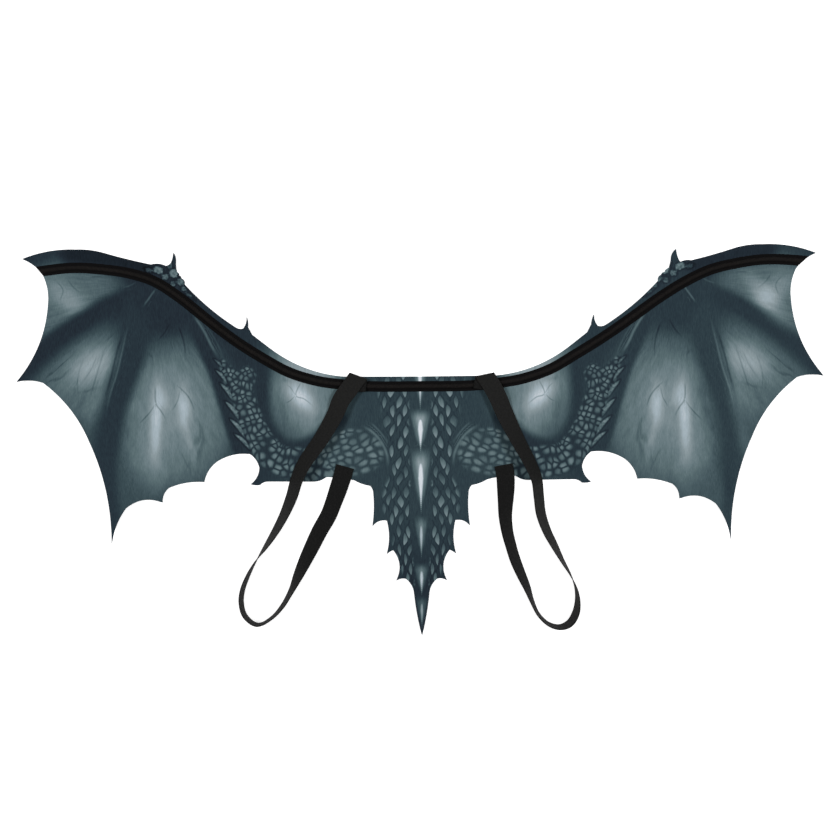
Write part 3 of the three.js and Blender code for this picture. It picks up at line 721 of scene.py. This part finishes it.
# Rounded scales of the arm, 5 to 11 mm across, and longer ones of the hip, each domed by a
# lighter middle, with dark gaps 1 to 2 mm wide
for area, gap, low, high in (("arm_scales", 0.2, 0.34, 0.47), ("hip_scales", 0.255, 0.36, 0.48)):
    parts = add(tree, SPLIT, {0: read[area].outputs["Vector"]})
    even = read[area].outputs["Vector"]
    crowded = add(tree, NOISE, {"Vector": even, "Scale": 0.4, "Detail": 1})
    crowded = add(tree, "ShaderNodeVectorMath",
                  {0: crowded.outputs["Color"], 1: (1.1, 1.1, 0), 2: even}, **TIMES_PLUS)
    grid = {"Vector": crowded, "Scale": 1, "Randomness": 0.65}
    scale = add(tree, VORONOI, grid, feature="F1", voronoi_dimensions="2D")
    seam = add(tree, VORONOI, grid, feature="DISTANCE_TO_EDGE", voronoi_dimensions="2D")
    dome = add(tree, RANGE, {"Value": scale.outputs["Distance"], 1: 0.12, 2: 0.68, 3: 1, 4: 0},
               **SOFT)
    apart = add(tree, RANGE, {"Value": seam.outputs["Distance"], 1: 0.01, 2: 0.23, 3: 0, 4: 1},
                **SOFT)
    dome = add(tree, MATH, {0: dome, 1: apart}, **TIMES)
    own = add(tree, "ShaderNodeSeparateColor", {0: scale.outputs["Color"]})
    pale = add(tree, RANGE, {"Value": own, 1: 0, 2: 1, 3: low, 4: high})
    scale_tone = add(tree, MIX, {0: dome, 2: gap, 3: pale})
    tone = add(tree, MIX, {0: parts.outputs[2], 2: tone, 3: scale_tone})

# Drop-shaped scales beside the spine, about 8 by 19 mm, in columns staggered by half a scale,
# each a little off its place, leaning out, and lighter towards its lower tip
parts = add(tree, SPLIT, {0: read["columns"].outputs["Vector"]})
wander = add(tree, NOISE, {"Vector": spot, "Scale": 55, "Detail": 0})
wander = add(tree, MATH, {0: wander, 1: 0.5}, **MINUS)
column = add(tree, MATH, {0: wander, 1: parts.outputs[0]}, operation="ADD")
number = add(tree, MATH, {0: column}, operation="ROUND")
beside = add(tree, MATH, {0: column, 1: number}, **MINUS)
rise = add(tree, MATH, {0: number, 1: 0.5, 2: parts.outputs[1]}, **TIMES_PLUS)
row = add(tree, MATH, {0: rise}, operation="FLOOR")
up = add(tree, MATH, {0: rise, 1: row}, **MINUS)
which = add(tree, "ShaderNodeCombineXYZ", {0: number, 1: row})
chance = add(tree, "ShaderNodeTexWhiteNoise", {"Vector": which}, noise_dimensions="2D")
own = add(tree, "ShaderNodeSeparateColor", {0: chance.outputs["Color"]})
beside = add(tree, MATH, {0: own.outputs[0], 1: 0.26, 2: beside}, **TIMES_PLUS)
beside = add(tree, MATH, {0: up, 1: 0.42, 2: beside}, **TIMES_PLUS)
beside = add(tree, MATH, {0: beside, 1: 0.34}, **MINUS)
beside = add(tree, MATH, {0: beside}, operation="ABSOLUTE")
shifted = add(tree, MATH, {0: own.outputs[1], 1: 0.2, 2: up}, **TIMES_PLUS)
down = add(tree, RANGE, {"Value": shifted, 1: 0.24, 2: 0.94, 3: 1, 4: 0})
left_over = add(tree, MATH, {0: 1, 1: down}, **MINUS)
girth = add(tree, MATH, {0: down, 1: left_over}, **TIMES)
bulge = add(tree, MATH, {0: down, 1: -0.3, 2: 2.0}, **TIMES_PLUS)
girth = add(tree, MATH, {0: girth, 1: bulge}, **TIMES)
depth = add(tree, MATH, {0: girth, 1: beside}, **MINUS)
drop = add(tree, RANGE, {"Value": depth, 1: -0.03, 2: 0.17, 3: 0, 4: 1}, **SOFT)
drop = add(tree, MATH, {0: drop, 1: parts.outputs[2]}, **TIMES)
lit = add(tree, RANGE, {"Value": down, 1: 0.1, 2: 0.9, 3: 0.3, 4: 0.5})
varied = add(tree, RANGE, {"Value": own.outputs[2], 1: 0, 2: 1, 3: 0.82, 4: 1.12})
drop_tone = add(tree, MATH, {0: lit, 1: varied}, **TIMES)
hollow = add(tree, RANGE, {"Value": depth, 1: -0.17, 2: -0.06, 3: 0, 4: -0.035}, **SOFT)
tone = add(tree, MATH, {0: hollow, 1: parts.outputs[2], 2: tone}, **TIMES_PLUS)
tone = add(tree, MIX, {0: drop, 2: tone, 3: drop_tone})

# Pale spikes beside the arm and knobs on the wrist
parts = add(tree, SPLIT, {0: read["marks"].outputs["Vector"]})
blots = add(tree, NOISE, {"Vector": spot, "Scale": 300, "Detail": 1})
blots = add(tree, MATH, {0: blots, 1: 0.5}, **MINUS)
inside = add(tree, MATH, {0: blots, 1: parts.outputs[2], 2: parts.outputs[0]}, **TIMES_PLUS)
outline = add(tree, RANGE, {"Value": inside, 1: -2.5, 2: -0.3, 3: 0, 4: -0.05}, **SOFT)
tone = add(tree, MATH, {0: tone, 1: outline}, operation="ADD")
mark = add(tree, RANGE, {"Value": inside, 1: -0.3, 2: 2.2, 3: 0, 4: 1}, **SOFT)
mark_tone = add(tree, MATH, {0: blots, 1: 0.35, 2: parts.outputs[1]}, **TIMES_PLUS)
tone = add(tree, MIX, {0: mark, 2: tone, 3: mark_tone})

# The near-white lances down the spine, each in a fan-shaped halo
across = add(tree, SPLIT, {0: spot})
parts = add(tree, SPLIT, {0: read["halos"].outputs["Vector"]})
inside = add(tree, MATH, {0: across.outputs[0], 1: -1000, 2: parts.outputs[0]}, **TIMES_PLUS)
fan_light = add(tree, RANGE, {"Value": inside, 1: -1.0, 2: 10.0, 3: 0.0, 4: 1.2})
rim_light = add(tree, RANGE, {"Value": inside, 1: -1.2, 2: 3.2, 3: 0.0, 4: 0.5}, **SOFT)
fan_light = add(tree, MATH, {0: fan_light, 1: rim_light}, operation="MAXIMUM")
fan_light = add(tree, MATH, {0: fan_light, 1: parts.outputs[1]}, **TIMES)
tone = add(tree, MATH, {0: fan_light, 1: 0.3, 2: tone}, **TIMES_PLUS)
parts = add(tree, SPLIT, {0: read["lances"].outputs["Vector"]})
inside = add(tree, MATH, {0: across.outputs[0], 1: -1000, 2: parts.outputs[0]}, **TIMES_PLUS)
lance = add(tree, RANGE, {"Value": inside, 1: -0.7, 2: 2.0, 3: 0, 4: 1}, **SOFT)
tone = add(tree, MIX, {0: lance, 2: tone, 3: parts.outputs[1]})

# Upright grain where the ink follows the fibres, about 0.8 mm wide and 6 mm long. The real
# fibres are far finer than a pixel.
on_felt = add(tree, "ShaderNodeTexCoord").outputs["Object"]
drawn = add(tree, "ShaderNodeMapping", {"Vector": on_felt, "Scale": (1250, 170, 1250)})
grain = add(tree, NOISE, {"Vector": drawn, "Scale": 1, "Detail": 2})
grain = add(tree, MATH, {0: grain, 1: 0.5}, **MINUS)
tone = add(tree, MATH, {0: grain, 1: GRAIN_DEEP, 2: tone}, **TIMES_PLUS)
ink = add(tree, "ShaderNodeValToRGB", {0: tone})
INKS = [
    (0.08, "#0f1317"), (0.17, "#222b34"), (0.22, "#2b3941"), (0.28, "#394a50"),
    (0.34, "#4a5c62"), (0.40, "#5a6d71"), (0.46, "#6a7c81"), (0.58, "#8a989d"),
    (0.70, "#a5b4bc"), (0.86, "#d7dde4"), (0.97, "#f2f5f7"),
]
ramp = ink.color_ramp
for end in (-1, 0):
    ramp.elements[end].position, ramp.elements[end].color = INKS[end][0], linear(INKS[end][1])
for position, colour in INKS[1:-1]:
    ramp.elements.new(position).color = linear(colour)
tree.links.new(ink.outputs["Color"], shader.inputs["Base Color"])
nap = add(tree, NOISE, {"Vector": on_felt, "Scale": 900, "Detail": 3})
bump = add(tree, "ShaderNodeBump", {"Height": nap, "Strength": 0.25, "Distance": 0.0004})
tree.links.new(bump.outputs[0], shader.inputs["Normal"])
panel.data.materials.append(felt)

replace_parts(panel, "wing_panel")
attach(panel, "root")

# Boning casing
# A black polyester tape folded over a springy rod and sewn down along both edges, so that the
# rod stands up as a rounded ridge. It is trimmed flush with the felt at both wing edges.
CASING_WIDTH = 0.0142
CASING_HEM = 0.001
RIDGE_WIDTH = 0.007
RIDGE_HEIGHT = 0.0024
SEWN_GAP = 0.0003
CASING_STEP = 0.003
STITCH_PITCH = 0.0036
STITCH_INSET = 0.0019
PUCKER = 0.00012  # how far the stitches draw the tape's edges in
PUCKERED_FROM = 0.005
RIB_SPACING = 0.0007

# The casing's middle line from the middle outwards, with its share of the depth on the left and
# on the right
CASING_LINE = [
    (0.124, 0.642, 0.642),
    (0.199, 0.648, 0.649),
    (0.256, 0.657, 0.659),
    (0.324, 0.679, 0.683),
    (0.388, 0.715, 0.721),
    (0.456, 0.76, 0.764),
    (0.523, 0.813, 0.811),
    (0.597, 0.875, 0.865),
    (0.66, 0.917, 0.905),
    (0.722, 0.938, 0.935),
    (0.784, 0.948, 0.951),
    (0.859, 0.953, 0.961),
    (0.943, 0.944, 0.957),
    (1.01, 0.933, 0.947),
]

FELT_TOP = FELT_THICKNESS + SEWN_GAP


def in_cut(point):
    ahead = np.roll(cut, -1, axis=0)
    crossing = (cut[:, 1] > point[1]) != (ahead[:, 1] > point[1])
    a, b = cut[crossing], ahead[crossing]
    sides = a[:, 0] + (point[1] - a[:, 1]) / (b[:, 1] - a[:, 1]) * (b[:, 0] - a[:, 0])
    return (sides > point[0]).sum() % 2 == 1


def casing_profile():
    """Across the tape from the felt up over the hems and the ridge, and back below"""
    half = CASING_WIDTH / 2
    top = [(-half, 0.0002), (-half + 0.0001, 0.0007), (-half + 0.0006, CASING_HEM)]
    top += [(-half + STITCH_INSET, CASING_HEM - 0.0002), (-RIDGE_WIDTH / 2 - 0.0007, CASING_HEM)]
    for angle in np.linspace(math.pi, 0, 11)[1:-1]:
        top.append((RIDGE_WIDTH / 2 * math.cos(angle),
                    CASING_HEM + RIDGE_HEIGHT * math.sin(angle)))
    top += [(-x, z) for x, z in top[4::-1]]
    return np.array(top + [(half - 0.0003, 0), (-half + 0.0003, 0)])


left = [place(out, up, -1) for out, up, other in CASING_LINE[::-1]]
right = [place(out, up) for out, other, up in CASING_LINE]
casing_line, _ = smooth_route(left + [place(0, 0.641)] + right, CASING_STEP)
casing_run = np.concatenate([[0], np.cumsum(np.linalg.norm(np.diff(casing_line, axis=0), axis=1))])


def casing_middle(run_along):
    return np.array([np.interp(run_along, casing_run, casing_line[:, k]) for k in (0, 1)])


def on_casing(run_along, across):
    """Place on the felt at a length along the casing and a distance across it"""
    along = casing_middle(run_along + 0.004) - casing_middle(run_along - 0.004)
    along = along / np.linalg.norm(along)
    return casing_middle(run_along) + np.array([-along[1], along[0]]) * across


def trimmed_end(across, inner, outer):
    """Where the tape is cut off at the wing's edge, found between a place inside and one outside"""
    for halving in range(20):
        half = (inner + outer) / 2
        if in_cut(on_casing(half, across)):
            inner = half
        else:
            outer = half
    return inner


def band_faces(rings, size):
    """Faces round a band whose rings of points follow each other, and across its two ends"""
    faces = []
    for i in range(rings - 1):
        for k in range(size):
            a, b = i * size + k, i * size + (k + 1) % size
            faces.append((a, a + size, b + size, b))
    return faces + [list(range(size)), list(range((rings - 1) * size, rings * size))[::-1]]


profile = casing_profile()
quarter = casing_run[-1] / 4
spans = [(trimmed_end(x, quarter, 0.0), trimmed_end(x, 3 * quarter, casing_run[-1]))
         for x, z in profile]
rings = round(casing_run[-1] / CASING_STEP)
casing_points = []
for i in range(rings + 1):
    share = i / rings
    for (x, z), (first, last) in zip(profile, spans):
        run_along = first + (last - first) * share
        pucker = PUCKER * math.sin(run_along / STITCH_PITCH * 2 * math.pi)
        drawn_in = math.copysign(pucker, x) * (abs(x) > PUCKERED_FROM)
        casing_points.append((*on_casing(run_along, x + drawn_in), FELT_TOP + z))
casing_points = np.array(casing_points)
casing_points[:, 2] += felt_lift(casing_points)
casing_faces = band_faces(rings + 1, len(profile))
casing = make_object("boning_tape", casing_points, casing_faces, sharp=60)
across_ring = np.tile(profile[:, 0], rings + 1)
along_ring = np.repeat(np.arange(rings + 1) * CASING_STEP, len(profile))
set_values(casing, "weave_place",
           np.column_stack([across_ring, along_ring, np.zeros(len(across_ring))]))

# Woven polyester tape: dull black, with a fine cross rib 0.7 mm apart, drawn a little coarser than
# the real one, and a painted brownish sheen, mottled by noise, along the ridge that the rod pushes
# up.
tape, tree, shader = new_material("woven polyester tape", 0.85, 0.12)
where = add(tree, "ShaderNodeAttribute", attribute_name="weave_place")
parts = add(tree, SPLIT, {0: where.outputs["Vector"]})
off_middle = add(tree, MATH, {0: parts.outputs[0]}, operation="ABSOLUTE")
# The ridge's top gets a painted brownish sheen, mottled by noise
ridge = add(tree, RANGE, {"Value": off_middle, 1: 0.0006, 2: 0.0042, 3: 1, 4: 0},
            interpolation_type="SMOOTHSTEP")
mottle = add(tree, NOISE, {"Vector": where.outputs["Vector"], "Scale": 220, "Detail": 4})
ridge_sheen = add(tree, MATH, {0: ridge, 1: mottle}, **TIMES)
tape_colour = add(tree, MIX, {0: ridge_sheen, 6: linear("#060506"), 7: linear("#1f1c1a")},
                  data_type="RGBA")
tree.links.new(tape_colour.outputs[2], shader.inputs["Base Color"])
rib = add(tree, MATH, {0: parts.outputs[1], 1: 2 * math.pi / RIB_SPACING}, **TIMES)
rib = add(tree, MATH, {0: rib}, operation="SINE")
bump = add(tree, "ShaderNodeBump", {"Height": rib, "Strength": 0.3, "Distance": 0.0002})
tree.links.new(bump.outputs[0], shader.inputs["Normal"])
casing.data.materials.append(tape)
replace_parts(casing, "boning_casing")
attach(casing, "root")

# Shoulder straps
# Black woven elastic, 25 mm wide and 1.3 mm thick, with knitted selvedges. Each is sewn on at the
# top edge with its end up, folded down over itself, and sewn on again near the lower edge.
STRAP_WIDTH = 0.025
STRAP_THICKNESS = 0.0013
STRAP_STEP = 0.003
SEWN_END_LENGTH = 0.020
LEFT_FOLD_SLOPE, RIGHT_FOLD_SLOPE = 21, 11
CORD_SPACING, PICK_SPACING = 0.001, 0.0008
SEWN_STEPS, FOLD_STEPS = 7, 10
ON_SURFACE, ON_FELT, ON_CASING = 0, 1, 2
CASING_TOP = FELT_TOP + CASING_HEM + RIDGE_HEIGHT + SEWN_GAP
FOLDED_TOP = CASING_TOP + STRAP_THICKNESS + SEWN_GAP

# The middle line from the fold to the lower sewn end: the place, the turn about the strap's own
# line in degrees (90 stands on edge), and what it lies on
LEFT_STRAP = [
    (0.154, 0.667, 0, ON_CASING),
    (0.175, 0.637, 2, ON_CASING),
    (0.196, 0.607, 10, 1.75),
    (0.212, 0.569, 21, 1.15),
    (0.248, 0.505, 32, ON_FELT),
    (0.288, 0.446, 38, ON_FELT),
    (0.307, 0.405, 44, ON_FELT),
    (0.32, 0.361, 48, 0.6),
    (0.34, 0.312, 57, 0.12),
    (0.36, 0.274, 64, ON_SURFACE),
    (0.384, 0.235, 74, ON_SURFACE),
    (0.41, 0.196, 90, ON_SURFACE),
    (0.43, 0.158, 98, ON_SURFACE),
    (0.444, 0.12, 100, ON_SURFACE),
    (0.447, 0.089, 99, ON_SURFACE),
    (0.438, 0.055, 97, ON_SURFACE),
    (0.408, 0.032, 95, ON_SURFACE),
    (0.374, 0.048, 97, ON_SURFACE),
    (0.345, 0.08, 103, ON_SURFACE),
    (0.323, 0.119, 109, ON_SURFACE),
    (0.306, 0.157, 124, ON_SURFACE),
    (0.288, 0.196, 137, ON_SURFACE),
    (0.27, 0.234, 146, ON_SURFACE),
    (0.251, 0.273, 152, ON_SURFACE),
    (0.23, 0.311, 155, ON_SURFACE),
    (0.215, 0.35, 160, 0.35),
    (0.202, 0.388, 174, ON_FELT),
    (0.194, 0.414, 180, ON_FELT),
    (0.188, 0.436, 180, ON_FELT),
]
RIGHT_STRAP = [
    (0.161, 0.668, 0, ON_CASING),
    (0.181, 0.635, 2, ON_CASING),
    (0.195, 0.606, 8, 1.75),
    (0.208, 0.573, 16, 1.15),
    (0.24, 0.503, 36, ON_FELT),
    (0.268, 0.448, 44, ON_FELT),
    (0.287, 0.4, 50, ON_FELT),
    (0.292, 0.356, 53, 0.6),
    (0.297, 0.312, 55, 0.12),
    (0.311, 0.268, 60, ON_SURFACE),
    (0.33, 0.229, 66, ON_SURFACE),
    (0.349, 0.191, 76, ON_SURFACE),
    (0.37, 0.152, 85, ON_SURFACE),
    (0.382, 0.12, 93, ON_SURFACE),
    (0.386, 0.087, 101, ON_SURFACE),
    (0.381, 0.055, 107, ON_SURFACE),
    (0.366, 0.03, 106, ON_SURFACE),
    (0.342, 0.02, 101, ON_SURFACE),
    (0.314, 0.028, 98, ON_SURFACE),
    (0.289, 0.053, 99, ON_SURFACE),
    (0.273, 0.088, 104, ON_SURFACE),
    (0.262, 0.12, 113, ON_SURFACE),
    (0.247, 0.156, 121, ON_SURFACE),
    (0.233, 0.192, 126, ON_SURFACE),
    (0.222, 0.23, 128, ON_SURFACE),
    (0.213, 0.269, 132, ON_SURFACE),
    (0.209, 0.308, 140, ON_SURFACE),
    (0.21, 0.346, 152, 0.35),
    (0.211, 0.386, 171, ON_FELT),
    (0.21, 0.412, 180, ON_FELT),
    (0.206, 0.437, 180, ON_FELT),
]


def between(values, at):
    """Values at places between rows, with the slope carried smoothly from row to row"""
    values = np.array(values, float)
    i = np.minimum(at.astype(int), len(values) - 2)
    ahead = values[i + 1]
    slope_in = (ahead - values[np.maximum(i - 1, 0)]) / 2
    slope_out = (values[np.minimum(i + 2, len(values) - 1)] - values[i]) / 2
    s = at - i
    ease = slope_in * s * (1 - s) ** 2 - slope_out * s * s * (1 - s)
    return values[i] + (ahead - values[i]) * s * s * (3 - 2 * s) + ease


def strap_sections(rows, side):
    """Rows of the strap's middle, the way across it and the way along it"""
    line, at = smooth_route([place(out, up, side) for out, up, turn, lie in rows], STRAP_STEP)
    turn = np.radians(between([row[2] for row in rows], at))
    lie = np.clip(between([row[3] for row in rows], at), ON_SURFACE, ON_CASING)
    rest = np.interp(lie, [0, 1, 2], [0, FELT_TOP, FOLDED_TOP])
    along = np.gradient(line, axis=0)
    along = along / np.linalg.norm(along, axis=1)[:, None]
    height = (rest + STRAP_WIDTH / 2 * np.abs(np.sin(turn))
              + STRAP_THICKNESS / 2 * np.abs(np.cos(turn)))
    middle = np.column_stack([line, height])
    across = np.column_stack([
        side * along[:, 1] * np.cos(turn), -side * along[:, 0] * np.cos(turn), np.sin(turn)
    ])
    along = np.column_stack([along, np.zeros(len(along))])
    return middle, across, along


def fold_sections(middle, away, side, fold_slope):
    """The sewn end under the strap, and the fold, whose sections all lie along the fold line"""
    slope = math.radians(fold_slope)
    fold_line = np.array([-side * math.cos(slope), -math.sin(slope), 0])
    sewn_way = 2 * away.dot(fold_line) * fold_line - away
    sewn_across = -side * np.array([sewn_way[1], -sewn_way[0], 0])
    across = fold_line / abs(sewn_across.dot(fold_line))
    outwards = -side * np.array([-fold_line[1], fold_line[0], 0])
    radius = (FOLDED_TOP - CASING_TOP) / 2
    crease = np.array([*middle[:2], CASING_TOP + STRAP_THICKNESS / 2])
    sections = []
    for share in np.linspace(0, 1, SEWN_STEPS + 1):
        blend = sewn_across * (1 - share) + across * share
        sections.append((crease - sewn_way * SEWN_END_LENGTH * (1 - share), blend, sewn_way))
    for angle in np.linspace(0, math.pi, FOLD_STEPS + 1):
        lift = np.array([0, 0, radius * (1 - math.cos(angle))])
        along = outwards * math.cos(angle) + np.array([0, 0, math.sin(angle)])
        sections.append((crease + outwards * radius * math.sin(angle) + lift, across, along))
    return [np.array(part) for part in zip(*sections)]


def strap_profile():
    """Across the webbing: flat faces with rounded, slightly thicker selvedges"""
    half, thick = STRAP_WIDTH / 2, STRAP_THICKNESS / 2
    upper = [(-half, 0), (-half + 0.0002, thick * 0.7), (-half + 0.0008, thick)]
    upper += [(x, thick * 0.94) for x in np.linspace(-half + 0.0018, half - 0.0018, 11)]
    upper += [(half - 0.0008, thick), (half - 0.0002, thick * 0.7)]
    return np.array(upper + [(-x, -z) for x, z in upper])


def make_strap(name, rows, side, fold_slope):
    middle, across, along = strap_sections(rows, side)
    folded = fold_sections(middle[0], along[0], side, fold_slope)
    middle, across, along = (
        np.vstack([a, b[1:]]) for a, b in zip(folded, (middle, across, along))
    )
    through = np.cross(along, across)
    through = through / np.linalg.norm(through, axis=1)[:, None]
    profile = strap_profile()
    points = (middle[:, None] + across[:, None] * profile[None, :, :1]
              + through[:, None] * profile[None, :, 1:]).reshape(-1, 3)
    size, count = len(profile), len(middle)
    strap = make_object(name, points, band_faces(count, size), sharp=65)
    steps = np.linalg.norm(np.diff(middle, axis=0), axis=1)
    length = np.concatenate([[0], np.cumsum(steps)])
    # The face that gets the painted shade, read by the elastic's nodes
    painted_dark_face = np.tile(profile[:, 1] * side > 0, count)
    set_values(strap, "weave_place", np.column_stack([
        np.tile(profile[:, 0], count), np.repeat(length, size), painted_dark_face * 0.01
    ]))
    strap.data.materials.append(elastic)
    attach(strap, "root")
    return strap


# Woven elastic: dull black, with cords running along it 1 mm apart under a fine cross weave. One
# face is painted a darker black than the other, a painted shade for the sewn ends and the parts of
# the loops that lie in shadow.
elastic, tree, shader = new_material("woven elastic", 0.82, 0.15)
where = add(tree, "ShaderNodeAttribute", attribute_name="weave_place")
parts = add(tree, SPLIT, {0: where.outputs["Vector"]})
cords = add(tree, MATH, {0: parts.outputs[0], 1: 2 * math.pi / CORD_SPACING}, **TIMES)
cords = add(tree, MATH, {0: cords}, operation="COSINE")
picks = add(tree, MATH, {0: parts.outputs[1], 1: 2 * math.pi / PICK_SPACING}, **TIMES)
picks = add(tree, MATH, {0: picks}, operation="COSINE")
weave = add(tree, MATH, {0: picks, 1: 0.5, 2: cords}, **TIMES_PLUS)
mottle = add(tree, NOISE, {"Vector": where.outputs["Vector"], "Scale": 400, "Detail": 3})
shade = add(tree, MATH, {0: weave, 1: 0.16, 2: mottle}, **TIMES_PLUS)
# Painted shade: the marked face is drawn a darker black
face = add(tree, RANGE, {"Value": parts.outputs[2], 1: 0.002, 2: 0.008, 3: 0, 4: 0.38})
shade = add(tree, MATH, {0: shade, 1: face}, **MINUS)
elastic_colour = add(tree, MIX, {0: shade, 6: linear("#0b0b0b"), 7: linear("#242423")},
                     data_type="RGBA")
tree.links.new(elastic_colour.outputs[2], shader.inputs["Base Color"])
bump = add(tree, "ShaderNodeBump", {"Height": weave, "Strength": 0.35, "Distance": 0.00015})
tree.links.new(bump.outputs[0], shader.inputs["Normal"])
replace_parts(make_strap("left_elastic", LEFT_STRAP, -1, LEFT_FOLD_SLOPE), "left_strap")
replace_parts(make_strap("right_elastic", RIGHT_STRAP, 1, RIGHT_FOLD_SLOPE), "right_strap")

# Table and lamps
# A white light table, as for catalogue pictures, which glows enough from within to wash out the
# shadows on it. One lamp stands on each side, with a faint one overhead, in a dim pale room.
TABLE_HALF = 6.0
TABLE_DROP = 0.0002  # keeps the felt's underside clear of it
corners = [(-1, -1, 0), (1, -1, 0), (1, 1, 0), (-1, 1, 0)]
table = make_object("table", np.array(corners) * TABLE_HALF, [(0, 1, 2, 3)])
table.location.z = -TABLE_DROP
card, tree, shader = new_material("glowing white acrylic", 1, 0)
shader.inputs["Base Color"].default_value = linear("#f4f4f4")
shader.inputs["Emission Color"].default_value = (1, 1, 1, 1)
shader.inputs["Emission Strength"].default_value = 0.62
table.data.materials.append(card)

for name, spot, size, watts in (
    ("overhead_lamp", (0, 0.2, 2.8), 3.0, 4),
    ("left_lamp", (-2.0, 0.3, 2.4), 0.7, 51),
    ("right_lamp", (2.0, 0.3, 2.4), 0.7, 51),
):
    lamp = bpy.data.objects.new(name, bpy.data.lights.new(name, "AREA"))
    bpy.context.collection.objects.link(lamp)
    lamp.data.shape = "SQUARE"
    lamp.data.size = size
    lamp.data.energy = watts
    lamp.location = spot
    lamp.rotation_euler = Vector(spot).to_track_quat("Z", "Y").to_euler()
sky = bpy.data.worlds.new("studio")
bpy.context.scene.world = sky
sky.use_nodes = True
sky.node_tree.nodes["Background"].inputs["Color"].default_value = (1, 1, 1, 1)
sky.node_tree.nodes["Background"].inputs["Strength"].default_value = 0.13
